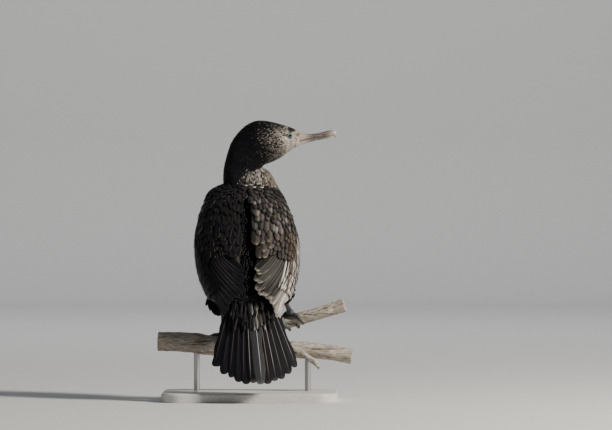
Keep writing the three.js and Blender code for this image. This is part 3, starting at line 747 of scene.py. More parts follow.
class Markings:
    """Plumage colours worked out from a place in millimetres, the same for skin and coat."""

    NAPE_EDGE = ((317.0, 15.0), (326.5, 20.5), (345.0, 17.5), (354.0, 12.0), (367.0, 8.0), (380.0, 12.0))
    BROW = Mark(58.5, 366.3, 5.6, 4.0, 0.85, 1.2)
    LORES = (Mark(66.5, 359.0, 3.6, 1.5), Mark(74.0, 355.5, 3.4, 1.5))
    GULAR = Mark(62.0, 343.5, 10.0, 4.0, 0.8)
    BEHIND_EYE = Mark(49.6, 358.6, 2.6, 1.4, 1.3, 0.7)

    @staticmethod
    def pale_share(points: Array) -> Array:
        """How likely a head or neck feather is pale: 0 behind the nape's edge, rising towards the bill.

        Args:
            points: places, one row each.

        Returns:
            A share from 0 to 1 for each.
        """
        x, z = points[..., 0], points[..., 2]
        edge = np.interp(z, *zip(*Markings.NAPE_EDGE))
        face = np.clip((x - edge + 2.5 * waves(points, 16, 3)) / 36, 0, 1) ** 1.35
        face = 0.12 * ease(-8, 3, x - edge) + 0.88 * face
        face = face * (1 - 0.7 * ease(358, 374, z) * (1 - ease(46, 60, x)))
        throat = 0.9 * ease(-14, 14, x + 0.5 * (CHIN_Z - z) + 3 * waves(points, 14, 5))
        return np.where(z > CHIN_Z - 0.5, face, throat)

    @staticmethod
    def head(points: Array, luck: Array) -> Array:
        """Colour of feathers on head and neck.

        Args:
            points: places, one row each.
            luck: a random number from 0 to 1 for each.

        Returns:
            One colour per place.
        """
        x, z = points[..., 0], points[..., 2]
        pale = Markings.pale_share(points)
        warm = ease(-0.2, 0.9, waves(points, 9, 8))
        light = mix(mix(CREAM * 1.2, BEIGE, 0.6 * warm), CHALK, 0.45 * ease(0.4, 1.0, waves(points, 5, 9)))
        brown = ease(-0.1, 0.6, waves(points, 9, 12) + 0.5 * (luck - 0.5))
        speckled = mix(light * 0.7, mix(UMBER * 1.3, TAN, 0.4 * luck), 0.85 * brown)
        light = np.where((z < CHIN_Z)[..., None], speckled, light * 0.9)
        light = light * (1 + 0.45 * ease(40, 52, x) * (z > CHIN_Z))[..., None]
        light = mix(light, SOOT * 0.9, 0.95 * Markings.BROW.share(x, z))
        lores = sum(mark.share(x, z) for mark in Markings.LORES)
        light = mix(light, TAN * 1.6, 0.8 * np.clip(lores, 0, 1))
        light = mix(light, CHALK, 0.7 * Markings.GULAR.share(x, z))
        light = mix(light, SOOT * 1.2, 0.9 * Markings.BEHIND_EYE.share(x, z))
        dark = mix(INK, SOOT, ease(0.1, 0.9, waves(points, 12, 4)))
        share = np.where(luck < pale, 0.3 + 0.7 * pale, 0.07 * pale)
        return mix(dark, light * (0.8 + 0.35 * luck[..., None]), share)

    @staticmethod
    def body(points: Array, luck: Array, angle: Array, share: Array) -> Array:
        """Colour of feathers on the trunk.

        Args:
            points: places, one row each.
            luck: a random number from 0 to 1 for each.
            angle: size of the angle from the back, in radians.
            share: share along the body.

        Returns:
            One colour per place.
        """
        back = mix(SOOT * 0.5, INK * 0.6, ease(-0.5, 0.5, waves(points, 22, 21)))
        buff = 0.55 * ease(0.25, 0.95, luck) * ease(-0.6, 0.5, waves(points, 26, 22))
        under = mix(UMBER * 1.2, BEIGE, buff)
        under = mix(under, CHALK, 0.3 * ease(0.72, 1.0, luck))
        vent = ease(0.72, 0.95, share)
        under = mix(under, SOOT * 1.3, vent)
        return mix(back, under, ease(1.35, 1.8, angle + 0.1 * waves(points, 18, 23)))


class Nodes:
    """A small hand for wiring shader nodes."""

    def __init__(self, tree: bpy.types.NodeTree) -> None:
        """Takes the tree to add to."""
        self.tree = tree

    def add(self, kind: str, **values: object) -> bpy.types.Node:
        """Adds a node.

        Args:
            kind: the node's type.
            values: properties by name, and inputs as in_ and their number, each a value or a socket.

        Returns:
            The node.
        """
        node = self.tree.nodes.new(kind)
        for key, value in values.items():
            if key.startswith("in_"):
                socket = node.inputs[int(key[3:])]
                if isinstance(value, bpy.types.NodeSocket):
                    self.tree.links.new(value, socket)
                else:
                    socket.default_value = value
            else:
                setattr(node, key, value)
        return node

    def math(self, operation: str, *values: object) -> bpy.types.NodeSocket:
        """One Math node's value."""
        inputs = {f"in_{i}": value for i, value in enumerate(values)}
        return self.add("ShaderNodeMath", operation=operation, **inputs).outputs[0]

    def ramp(self, value: object, low: object, high: object, start: object = 0.0) -> bpy.types.NodeSocket:
        """Smooth step of a value between low and high, from start to 1."""
        inputs = {"in_0": value, "in_1": low, "in_2": high, "in_3": start}
        return self.add("ShaderNodeMapRange", interpolation_type="SMOOTHSTEP", **inputs).outputs[0]

    def spot(self) -> bpy.types.NodeSocket:
        """The place in Object coordinates."""
        return self.add("ShaderNodeTexCoord").outputs["Object"]

    def attribute(self, name: str) -> bpy.types.NodeSocket:
        """A colour that the mesh carries."""
        return self.add("ShaderNodeAttribute", attribute_name=name).outputs["Color"]

    def blend(self, share: object, a: object, b: object, how: str = "MIX") -> bpy.types.NodeSocket:
        """Colour a mixed with colour b.

        Args:
            share: how much of b.
            a: the first colour, or a socket.
            b: the second colour, or a socket.
            how: the way of mixing.

        Returns:
            The mixed colour.
        """
        node = self.add("ShaderNodeMix", data_type="RGBA", blend_type=how, clamp_factor=True)
        for name, value in (("Factor_Float", share), ("A_Color", a), ("B_Color", b)):
            socket = next(s for s in node.inputs if s.identifier == name)
            if isinstance(value, bpy.types.NodeSocket):
                self.tree.links.new(value, socket)
            else:
                socket.default_value = value
        return next(s for s in node.outputs if s.identifier == "Result_Color")

    def noise(
        self, vector: object, scale: float, detail: float = 3.0, rough: float = 0.5
    ) -> bpy.types.NodeSocket:
        """Noise value at a vector."""
        node = self.add("ShaderNodeTexNoise", in_0=vector, in_2=scale, in_3=detail, in_4=rough)
        return node.outputs[0]

    def bump(self, height: object, strength: float, distance: float) -> bpy.types.NodeSocket:
        """Normal from a height.

        Args:
            height: the height's socket.
            strength: share of the height that shows.
            distance: what a height of 1 stands for, in metres.

        Returns:
            The normal.
        """
        node = self.add("ShaderNodeBump")
        node.inputs["Strength"].default_value = strength
        node.inputs["Distance"].default_value = distance
        self.tree.links.new(height, node.inputs["Height"])
        return node.outputs[0]

    def feed(self, shader: bpy.types.Node, *sockets: bpy.types.NodeSocket) -> None:
        """Links sockets to a shader's colour, roughness and normal, in this order."""
        for name, socket in zip(("Base Color", "Roughness", "Normal"), sockets):
            self.tree.links.new(socket, shader.inputs[name])


def new_group(
    name: str, inputs: dict[str, tuple[str, object]], outputs: dict[str, str]
) -> bpy.types.NodeTree:
    """An empty shader group with named sockets.

    Args:
        name: the group's name.
        inputs: socket name to its kind and default.
        outputs: socket name to its kind.

    Returns:
        The group, with its input and output nodes in place.
    """
    tree = bpy.data.node_groups.new(name, "ShaderNodeTree")
    for title, (kind, default) in inputs.items():
        socket = tree.interface.new_socket(name=title, in_out="INPUT", socket_type=kind)
        socket.default_value = default
    for title, kind in outputs.items():
        tree.interface.new_socket(name=title, in_out="OUTPUT", socket_type=kind)
    tree.nodes.new("NodeGroupInput")
    tree.nodes.new("NodeGroupOutput")
    return tree


def vane_group() -> bpy.types.NodeTree:
    """Look of a vane: barbs slant from a pale or dark shaft to a worn fringe of its own colour, and the web
    input darkens one half of the vane as painted shade.

    Returns:
        A group that gives colour, roughness and height.
    """
    tree = new_group(
        "Vane look",
        {
            "Barbs": ("NodeSocketFloat", 60.0),
            "Fringe From": ("NodeSocketFloat", 0.72),
            "Fringe Amount": ("NodeSocketFloat", 0.8),
            "Shaft Colour": ("NodeSocketColor", (0.01, 0.01, 0.01, 1)),
            "Shaft Amount": ("NodeSocketFloat", 0.5),
            "Shaft Width": ("NodeSocketFloat", 0.06),
            "Shaft By Vane": ("NodeSocketFloat", 0.0),
            "Streaks": ("NodeSocketFloat", 0.0),
            "Shaded Web": ("NodeSocketFloat", 1.0),
            "Contrast": ("NodeSocketFloat", 0.3),
        },
        {"Colour": "NodeSocketColor", "Roughness": "NodeSocketFloat", "Height": "NodeSocketFloat"},
    )
    n = Nodes(tree)
    ins, out = tree.nodes["Group Input"].outputs, tree.nodes["Group Output"]
    place = n.add("ShaderNodeUVMap", uv_map="Vane").outputs[0]
    split = n.add("ShaderNodeSeparateXYZ", in_0=place)
    side = n.math("ABSOLUTE", n.math("MULTIPLY", n.math("SUBTRACT", split.outputs[0], 0.5), 2.0))
    spot = n.spot()
    grain = n.noise(spot, 900.0, 3.0)
    slant = n.math("SUBTRACT", split.outputs[1], n.math("MULTIPLY", side, 0.22))
    phase = n.math("ADD", n.math("MULTIPLY", slant, ins["Barbs"]), n.math("MULTIPLY", grain, 3.0))
    barb = n.math("MULTIPLY_ADD", n.math("SINE", phase), 0.5, 0.5)
    tint, fringe = n.attribute("Tint"), n.attribute("Fringe")
    tip = n.ramp(split.outputs[1], 0.62, 1.02)
    reach = n.math("MAXIMUM", n.math("MULTIPLY", side, n.ramp(split.outputs[1], 0.05, 0.5)), tip)
    wear = n.ramp(n.noise(spot, 260.0, 2.0), 0.25, 0.6)
    worn = n.math("MULTIPLY", n.ramp(reach, ins["Fringe From"], 1.0), wear)
    base = n.blend(n.math("MULTIPLY", worn, ins["Fringe Amount"]), tint, fringe)
    relief = n.math("SUBTRACT", n.math("MULTIPLY", barb, grain), 0.25)
    shade = n.math("MULTIPLY_ADD", relief, ins["Contrast"], 1.0)
    # Streaks along the vane, moved by its own tint so that no two vanes are alike.
    apart = n.add("ShaderNodeVectorMath", operation="MULTIPLY", in_0=tint, in_1=(900.0, 900.0, 900.0))
    drawn = n.add("ShaderNodeVectorMath", operation="MULTIPLY_ADD", in_0=place, in_1=(22.0, 1.6, 1.0))
    tree.links.new(apart.outputs[0], drawn.inputs[2])
    hair = n.math("MULTIPLY_ADD", n.noise(drawn.outputs[0], 1.0, 2.0, 0.6), 2.6, -1.3)
    shade = n.math("MAXIMUM", n.math("MULTIPLY_ADD", hair, ins["Streaks"], shade), 0.05)
    # Painted shade: the half of the vane below the shaft in the Vane map is darkened by the web input, as a web
    # turned away from the light.
    shade = n.math("MULTIPLY", shade, n.ramp(split.outputs[0], 0.42, 0.54, ins["Shaded Web"]))
    lit = n.add("ShaderNodeVectorMath", operation="SCALE", in_0=base)
    tree.links.new(shade, lit.inputs["Scale"])
    core = n.math("SUBTRACT", 1.0, n.ramp(side, 0.0, ins["Shaft Width"]))
    line = n.math("MULTIPLY", core, ins["Shaft Amount"])
    line = n.math("MULTIPLY", line, n.ramp(split.outputs[1], 1.0, 0.7))
    quill = n.blend(ins["Shaft By Vane"], ins["Shaft Colour"], fringe)
    tree.links.new(n.blend(line, lit.outputs[0], quill), out.inputs["Colour"])
    tree.links.new(n.math("MULTIPLY_ADD", barb, 0.08, 0.42), out.inputs["Roughness"])
    tree.links.new(n.math("ADD", barb, n.math("MULTIPLY", line, 1.5)), out.inputs["Height"])
    return tree


def mottle_group() -> bpy.types.NodeTree:
    """Fine scales or pores over Object coordinates.

    Returns:
        A group that gives cell edges as height, and a mask that varies slowly.
    """
    tree = new_group(
        "Fine scales",
        {"Scale": ("NodeSocketFloat", 600.0), "Patches": ("NodeSocketFloat", 90.0)},
        {"Height": "NodeSocketFloat", "Mask": "NodeSocketFloat"},
    )
    n = Nodes(tree)
    ins, out = tree.nodes["Group Input"].outputs, tree.nodes["Group Output"]
    spot = n.spot()
    cells = n.add("ShaderNodeTexVoronoi", feature="DISTANCE_TO_EDGE", in_0=spot, in_2=ins["Scale"])
    tree.links.new(n.ramp(cells.outputs[0], 0.0, 0.18), out.inputs["Height"])
    patches = n.add("ShaderNodeTexNoise", in_0=spot, in_2=ins["Patches"], in_3=4.0)
    tree.links.new(patches.outputs[0], out.inputs["Mask"])
    return tree


@dataclass(frozen=True)
class Finish:
    """What every finish shares: a name and the shader's plain constants."""

    name: str
    coat: float = 0.0
    coat_rough: float = 0.2
    specular: float = 0.5
    metallic: float = 0.0

    def start(self) -> tuple[bpy.types.Material, Nodes, bpy.types.Node]:
        """Begins the material.

        Returns:
            The material, a hand for its nodes, and its shader with the constants set.
        """
        made = bpy.data.materials.new(self.name)
        made.use_nodes = True
        shader = made.node_tree.nodes["Principled BSDF"]
        titles = ("Coat Weight", "Coat Roughness", "Specular IOR Level", "Metallic")
        for title, value in zip(titles, (self.coat, self.coat_rough, self.specular, self.metallic)):
            shader.inputs[title].default_value = value
        return made, Nodes(made.node_tree), shader


@dataclass(frozen=True)
class VaneFinish(Finish):
    """Feathers: colours from the vane's own Tint and Fringe, pattern from the vane group.

    All but the bump are the group's inputs of the same names.
    """

    barbs: float = 60.0
    fringe_from: float = 0.72
    fringe_amount: float = 0.8
    shaft_colour: Colour = (0.008, 0.008, 0.01, 1)
    shaft_amount: float = 0.5
    shaft_width: float = 0.06
    shaft_by_vane: float = 0.0
    streaks: float = 0.0
    shaded_web: float = 1.0
    contrast: float = 0.5
    bump: float = 0.25

    def make(self, group: bpy.types.NodeTree) -> bpy.types.Material:
        """Builds the material around the vane group.

        Args:
            group: the vane group.

        Returns:
            The material.
        """
        made, n, shader = self.start()
        look = n.add("ShaderNodeGroup", node_tree=group)
        for socket in look.inputs:
            socket.default_value = getattr(self, socket.name.lower().replace(" ", "_"))
        normal = n.bump(look.outputs["Height"], self.bump, 0.0003)
        n.feed(shader, look.outputs["Colour"], look.outputs["Roughness"], normal)
        return made


@dataclass(frozen=True)
class SkinFinish(Finish):
    """Skin under the coat: the same markings, darker, with a downy bump."""

    def make(self) -> bpy.types.Material:
        """Builds the material.

        Returns:
            The material.
        """
        made, n, shader = self.start()
        down = n.noise(n.spot(), 1400.0, 5.0, 0.7)
        dark = n.blend(n.ramp(down, 0.35, 0.75), (0.35, 0.35, 0.35, 1), (1, 1, 1, 1))
        tone = n.blend(1.0, n.attribute("Tint"), dark, "MULTIPLY")
        n.feed(shader, tone, n.math("MULTIPLY_ADD", down, 0.2, 0.6), n.bump(down, 0.7, 0.0006))
        return made


@dataclass(frozen=True)
class HornFinish(Finish):
    """Bill: streaked grey-brown horn, darker along the ridge, paler at its base, and paler at the hook, partly
    as its own pale nail and partly as a painted highlight.
    """

    def make(self) -> bpy.types.Material:
        """Builds the material.

        Returns:
            The material.
        """
        made, n, shader = self.start()
        spot = n.spot()
        place = n.add("ShaderNodeSeparateXYZ", in_0=spot)
        stretched = n.add("ShaderNodeMapping", in_0=spot, in_3=(0.12, 1.0, 1.0)).outputs[0]
        streaks = n.noise(stretched, 1100.0, 4.0, 0.6)
        tip = n.ramp(place.outputs[0], 0.100, 0.1125)
        base = n.ramp(place.outputs[0], 0.083, 0.070)
        slope = n.math("MULTIPLY", place.outputs[0], 0.11)
        ridge = n.ramp(n.math("SUBTRACT", place.outputs[2], slope), 0.3508, 0.3535)
        tone = n.blend(n.ramp(streaks, 0.38, 0.64), (0.060, 0.048, 0.044, 1), (0.21, 0.175, 0.16, 1))
        tone = n.blend(n.math("MULTIPLY", ridge, 0.75), tone, (0.034, 0.030, 0.032, 1))
        tone = n.blend(n.math("MULTIPLY", base, 0.8), tone, (0.42, 0.36, 0.31, 1))
        # The paler hook is partly the nail's own colour and partly a painted highlight.
        tone = n.blend(n.math("MULTIPLY", tip, 0.6), tone, (0.44, 0.38, 0.30, 1))
        n.feed(shader, tone, n.math("MULTIPLY_ADD", streaks, 0.22, 0.22), n.bump(streaks, 0.25, 0.0003))
        return made


@dataclass(frozen=True)
class EyeFinish(Finish):
    """Eye: dark pupil, teal iris with radial flecks, pale ring and dark rim, from the map Wrap."""

    def make(self) -> bpy.types.Material:
        """Builds the material.

        Returns:
            The material.
        """
        made, n, shader = self.start()
        split = n.add("ShaderNodeSeparateXYZ", in_0=n.add("ShaderNodeUVMap", uv_map="Wrap").outputs[0])
        away = split.outputs[0]
        turn = n.math("MULTIPLY", split.outputs[1], 70.0)
        spokes = n.add("ShaderNodeCombineXYZ", in_0=n.math("MULTIPLY", away, 6.0), in_1=turn)
        fleck = n.noise(spokes.outputs[0], 1.0, 4.0, 0.7)
        iris = n.blend(n.ramp(fleck, 0.3, 0.7), (0.008, 0.085, 0.115, 1), (0.045, 0.27, 0.30, 1))
        iris = n.blend(n.ramp(away, 0.19, 0.21), iris, (0.26, 0.30, 0.28, 1))
        iris = n.blend(n.ramp(away, 0.27, 0.31), iris, (0.02, 0.025, 0.03, 1))
        tone = n.blend(n.ramp(away, 0.095, 0.115), (0.002, 0.003, 0.006, 1), iris)
        n.feed(shader, tone, n.math("MULTIPLY_ADD", fleck, 0.06, 0.05))
        return made


@dataclass(frozen=True)
class ScaledFinish(Finish):
    """Bare skin and horn with fine scales: lids, legs, toes, webs and claws."""

    dark: Colour = (0.012, 0.012, 0.014, 1)
    light: Colour = (0.075, 0.078, 0.085, 1)
    scale: float = 700.0
    rough: float = 0.36
    bump: float = 0.5

    def make(self, group: bpy.types.NodeTree) -> bpy.types.Material:
        """Builds the material around the scale group.

        Args:
            group: the scale group.

        Returns:
            The material.
        """
        made, n, shader = self.start()
        look = n.add("ShaderNodeGroup", node_tree=group)
        look.inputs["Scale"].default_value = self.scale
        tone = n.blend(n.ramp(look.outputs["Mask"], 0.35, 0.65), self.dark, self.light)
        gap = n.math("SUBTRACT", 1.0, look.outputs["Height"])
        tone = n.blend(n.math("MULTIPLY", gap, 0.6), tone, self.dark)
        rough = n.math("MULTIPLY_ADD", look.outputs["Mask"], 0.2, self.rough - 0.1)
        n.feed(shader, tone, rough, n.bump(look.outputs["Height"], self.bump, 0.0003))
        return made


@dataclass(frozen=True)
class BarkFinish(Finish):
    """Weathered bark: long grey and tan fibres, dark cracks and specks, and pale worn patches."""

    def make(self) -> bpy.types.Material:
        """Builds the material.

        Returns:
            The material.
        """
        made, n, shader = self.start()
        spot = n.spot()
        long = n.add("ShaderNodeMapping", in_0=spot, in_3=(0.16, 1.0, 1.0)).outputs[0]
        fibre = n.noise(long, 520.0, 6.0, 0.65)
        blotch = n.noise(spot, 55.0, 4.0, 0.6)
        crack = n.ramp(n.noise(long, 210.0, 3.0, 0.55), 0.40, 0.31)
        tone = n.blend(n.ramp(fibre, 0.3, 0.72), (0.21, 0.18, 0.15, 1), (0.50, 0.465, 0.41, 1))
        warm = n.blend(n.ramp(fibre, 0.3, 0.7), (0.24, 0.185, 0.135, 1), (0.50, 0.44, 0.36, 1))
        tone = n.blend(n.ramp(blotch, 0.42, 0.62), tone, warm)
        pale = n.ramp(n.noise(spot, 130.0, 3.0, 0.5), 0.58, 0.7)
        tone = n.blend(n.math("MULTIPLY", pale, 0.6), tone, (0.64, 0.60, 0.54, 1))
        specks = n.ramp(n.noise(spot, 700.0, 2.0, 0.5), 0.66, 0.72)
        tone = n.blend(n.math("MULTIPLY", specks, 0.7), tone, (0.06, 0.045, 0.035, 1))
        tone = n.blend(n.math("MULTIPLY", crack, 0.7), tone, (0.045, 0.032, 0.024, 1))
        height = n.math("ADD", fibre, n.math("MULTIPLY", blotch, 0.5))
        height = n.math("SUBTRACT", height, n.math("MULTIPLY", crack, 0.8))
        n.feed(shader, tone, n.math("MULTIPLY_ADD", fibre, 0.2, 0.7), n.bump(height, 0.8, 0.0012))
        return made


@dataclass(frozen=True)
class PlainFinish(Finish):
    """Stand and floor: a near-plain colour with a fine grain in colour, roughness and bump."""

    colour: Triple = (0.6, 0.6, 0.58)
    grain: float = 300.0
    rough: float = 0.5
    stretch: Triple = (1.0, 1.0, 1.0)

    def make(self) -> bpy.types.Material:
        """Builds the material.

        Returns:
            The material.
        """
        made, n, shader = self.start()
        place = n.add("ShaderNodeMapping", in_0=n.spot(), in_3=self.stretch).outputs[0]
        grain = n.noise(place, self.grain, 5.0, 0.6)
        low = (*[c * 0.86 for c in self.colour], 1)
        high = (*[min(c * 1.06, 1) for c in self.colour], 1)
        tone = n.blend(n.ramp(grain, 0.3, 0.7), low, high)
        rough = n.math("MULTIPLY_ADD", grain, 0.15, self.rough - 0.08)
        n.feed(shader, tone, rough, n.bump(grain, 0.12, 0.0003))
        return made


@dataclass
class Palette:
    """All finishes of the model, made once."""

    vane: bpy.types.NodeTree = field(default_factory=vane_group)
    scales: bpy.types.NodeTree = field(default_factory=mottle_group)

    def __post_init__(self) -> None:
        """Makes each material."""
        self.skin = SkinFinish("Down").make()
        self.small = VaneFinish(
            "Small feathers", specular=0.15, barbs=26.0, fringe_amount=0.5, shaft_amount=0.2, contrast=0.9,
        ).make(self.vane)
        # Scapular and flight feathers have one web of each vane darkened as painted shade.
        self.scapular = VaneFinish(
            "Scapular feathers", specular=0.2, barbs=70.0, fringe_from=0.6, fringe_amount=0.95,
            shaft_width=0.05, shaft_amount=0.5, contrast=0.8, streaks=0.6, shaded_web=0.4, bump=0.3,
        ).make(self.vane)
        self.quill = VaneFinish(
            "Flight feathers", specular=0.18, barbs=170.0, fringe_from=0.78, fringe_amount=0.9, contrast=0.8,
            shaft_colour=(0.20, 0.17, 0.145, 1), shaft_amount=0.55, shaft_width=0.05, streaks=1.1,
            shaded_web=0.5, bump=0.3,
        ).make(self.vane)
        self.rectrix = VaneFinish(
            "Tail feathers", specular=0.1, barbs=260.0, fringe_from=0.9, fringe_amount=0.12, contrast=0.7,
            shaft_by_vane=1.0, shaft_amount=0.85, shaft_width=0.085, streaks=1.1, bump=0.35,
        ).make(self.vane)
        self.horn = HornFinish("Bill horn", coat=0.25, coat_rough=0.25).make()
        self.eye = EyeFinish("Eye", coat=1.0, coat_rough=0.03).make()
        self.lid = ScaledFinish(
            "Lid skin", dark=(0.20, 0.16, 0.12, 1), light=(0.56, 0.47, 0.36, 1), scale=1500.0, rough=0.5
        ).make(self.scales)
        self.leg = ScaledFinish(
            "Leg skin", scale=750.0, rough=0.4, coat=0.15, coat_rough=0.35
        ).make(self.scales)
        self.claw = ScaledFinish(
            "Claws", dark=(0.02, 0.018, 0.016, 1), light=(0.12, 0.10, 0.09, 1), scale=2500.0, rough=0.3,
            bump=0.1,
        ).make(self.scales)
        self.bark = BarkFinish("Bark").make()
        self.base = PlainFinish("Stand base", colour=(0.60, 0.59, 0.56), grain=240.0, rough=0.5).make()
        self.steel = PlainFinish(
            "Brushed steel", metallic=1.0, colour=(0.55, 0.55, 0.56), grain=900.0, rough=0.35,
            stretch=(1, 1, 0.05),
        ).make()


def fused(
    name: str, sheets: Sequence[Sheet], voxel: float, material: bpy.types.Material
) -> bpy.types.Object:
    """One closed skin round several closed bodies: they are joined, remeshed on a voxel grid and smoothed.

    Args:
        name: the skin's name.
        sheets: closed bodies that run into each other.
        voxel: grid size in millimetres.
        material: its finish.

    Returns:
        The skin, with no live modifiers.
    """
    raw = mesh_object(f"{name}_raw", joined(sheets), material)
    remesh = raw.modifiers.new("Fuse", "REMESH")
    remesh.mode = "VOXEL"
    remesh.voxel_size = voxel * MM
    soften = raw.modifiers.new("Soften", "SMOOTH")
    soften.factor = 0.5
    soften.iterations = 6
    baked = bpy.data.meshes.new_from_object(raw.evaluated_get(bpy.context.evaluated_depsgraph_get()))
    baked.name = name
    bpy.data.objects.remove(raw)
    skin = bpy.data.objects.new(name, baked)
    bpy.context.scene.collection.objects.link(skin)
    baked.polygons.foreach_set("use_smooth", np.full(len(baked.polygons), True))
    baked.materials.clear()
    baked.materials.append(material)
    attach(skin, "root")
    LOG.info("%s: %d faces", name, len(baked.polygons))
    return skin


@dataclass
class Trunk:
    """Skin of the whole bird, and the small feathers of head, neck and trunk."""

    finish: Palette
    torso: Loft = field(default_factory=lambda: Loft(TORSO, Plane.BODY))
    head: Loft = field(default_factory=lambda: Loft(HEAD, Plane.TURNED))
    throat: Loft = field(default_factory=lambda: Loft(LOWER_NECK, Plane.TURNED))
    thighs: tuple[Rows, ...] = (
        ((-28, 14, 150, 19), (-36, 3, 142, 19), (-40, -8, 133, 16), (-38, -17, 125, 9), (-36, -20.5, 121, 4.8)),
        ((30, 8, 158, 18), (38, -2, 152, 18), (43, -14, 146, 14), (45.5, -24, 140.5, 7.5), (46, -28, 137, 4.8)),
    )
    coat_depth: float = 1.6
    face_depth: float = 0.7
    voxel: float = 1.7
    socket_depth: float = 2.4
    socket_rim: float = 5.4
    socket_floor: float = 3.4
    eye_clear: float = 5.2

    def build(self) -> None:
        """Makes the skin and each part of the coat."""
        self.build_skin()
        self.dress_head()
        self.dress_throat()
        self.dress_trunk()
        self.dress_thighs()

    def build_skin(self) -> None:
        """Fuses trunk, neck, head and thighs, sinks the eye sockets, and paints the markings."""
        depth = -self.coat_depth
        low = -TORSO[0][0]
        sheets = [
            tube(lambda a, b: self.torso.point(a * (1 + low) - low, b, depth), 60, 64),
            tube(lambda a, b: self.head.point(a, b, -self.face_depth), 60, 40),
            tube(lambda a, b: self.throat.point(a, b, depth), 24, 40),
        ]
        for rows in self.thighs:
            thigh = Bough(rows)
            sheets.append(tube(lambda a, b: thigh.point(a, b, depth), 20, 24))
        skin = fused("skin", sheets, self.voxel, self.finish.skin)
        mesh = skin.data
        points = np.empty(len(mesh.vertices) * 3)
        mesh.vertices.foreach_get("co", points)
        points = points.reshape(-1, 3) / MM
        side = np.sign(points[:, 1] - HEAD_DEPTH)
        flat = np.hypot(points[:, 0] - EYE_CENTRE[0], points[:, 2] - EYE_CENTRE[2])
        points[:, 1] -= side * self.socket_depth * ease(self.socket_rim, self.socket_floor, flat)
        mesh.vertices.foreach_set("co", (points * MM).astype(np.float32).ravel())
        luck = np.random.default_rng(5).random(len(points))
        # Above and before these places the neck's colours hold. On the trunk the angle from the back is
        # taken about a line that leans with the body, and the share runs from shoulder to vent.
        upper = (points[:, 2] > 292) & (points[:, 1] > 44)
        x, y, z = points[:, 0] + 4, points[:, 1] - 30, points[:, 2]
        angle = np.abs(np.arctan2(x, -y + 0.6 * (z - 215)))
        share = np.clip((290 - z) / 150, 0, 1)
        trunk = Markings.body(points, luck, angle, share)
        tint = np.where(upper[:, None], Markings.head(points, luck), trunk)
        paint(mesh, "Tint", tint * 0.8)
        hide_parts("torso", "neck", "head", "thigh_left", "thigh_right")

    def dress_head(self) -> None:
        """Head and upper neck: small pointed feathers, tiny round the bill and longer down the nape."""
        parts = (
            ("coat_face", Field((0.62, 0.995), (0, TURN), 74, 84, 31), 0.9),
            ("coat_nape", Field((0.06, 0.63), (0, TURN), 78, 74, 32), 1.6),
        )
        for name, spread, scale in parts:
            roots = spread.roots()
            rng = np.random.default_rng(spread.seed + 100)
            at = self.head.point(roots[:, 0], roots[:, 1], 0.0)
            away = np.hypot(at[:, 0] - EYE_CENTRE[0], at[:, 2] - EYE_CENTRE[2])
            keep = (at[:, 2] > 284) & (away >= self.eye_clear)
            if name == "coat_nape":
                keep &= ~((at[:, 2] < CHIN_Z) & (np.cos(roots[:, 1]) < -0.25) & (roots[:, 0] < 0.36))
            roots, at = roots[keep], at[keep]
            count = len(roots)
            luck = rng.random(count)
            size = np.interp(roots[:, 0], [0.0, 0.5, 0.8, 0.95, 1.0], [9.5, 7.0, 4.6, 2.8, 2.0])
            size = size * rng.uniform(0.85, 1.2, count)
            reach = size / pace(self.head, roots, at)
            tip = roots - np.stack([reach, rng.normal(0, 0.05, count)], -1)
            tip[:, 0] = np.maximum(tip[:, 0], 0.001)
            tint = Markings.head(at, luck)
            streak = (at[:, 2] > 298) & (at[:, 2] < 330) & (luck < 0.6 * Markings.pale_share(at))
            tint = np.where(streak[:, None], CHALK * 0.45, tint)
            fringe = tint * 0.8 + 0.02 * tint.mean(1, keepdims=True)
            batch = Vanes(
                roots, tip, size * np.where(streak, 0.26, 0.44), tint, fringe,
                sunk=-0.55, lifted=0.35 + 0.3 * rng.random(count) * scale, roll=rng.normal(0, 0.05, count),
                cup=0.10, thick=0.18, stations=4, columns=3, seed=spread.seed, cut=Cut.POINT,
            )
            mesh_object(name, lay(self.head, batch), self.finish.small)

    def dress_throat(self) -> None:
        """Lower neck: mottled feathers that point down, with thin pale hackles towards the nape."""
        roots = Field((0.12, 0.995), (0, TURN), 30, 84, 41).roots()
        rng = np.random.default_rng(42)
        at = self.throat.point(roots[:, 0], roots[:, 1])
        luck = rng.random(len(roots))
        size = rng.uniform(6.0, 8.5, len(roots))
        tip = roots - np.stack([size / 56, rng.normal(0, 0.05, len(roots))], -1)
        tint = Markings.head(at, luck)
        tint = tint * (0.4 + 0.6 * ease(0.2, 0.36, roots[:, 0]))[:, None]
        hackle = (rng.random(len(roots)) < 0.4) & (at[:, 0] < 14) & (roots[:, 0] > 0.42)
        tint = np.where(hackle[:, None], CHALK * 0.7, tint * rng.uniform(0.5, 1.15, (len(roots), 1)))
        batch = Vanes(
            roots, tip, size * np.where(hackle, 0.17, 0.36), tint, tint * 0.6,
            sunk=-0.7, lifted=0.5 + 0.5 * rng.random(len(roots)), roll=rng.normal(0, 0.05, len(roots)),
            cup=0.1, thick=0.2, stations=4, columns=3, seed=43, cut=Cut.POINT,
        )
        mesh_object("coat_throat", lay(self.throat, batch), self.finish.small)

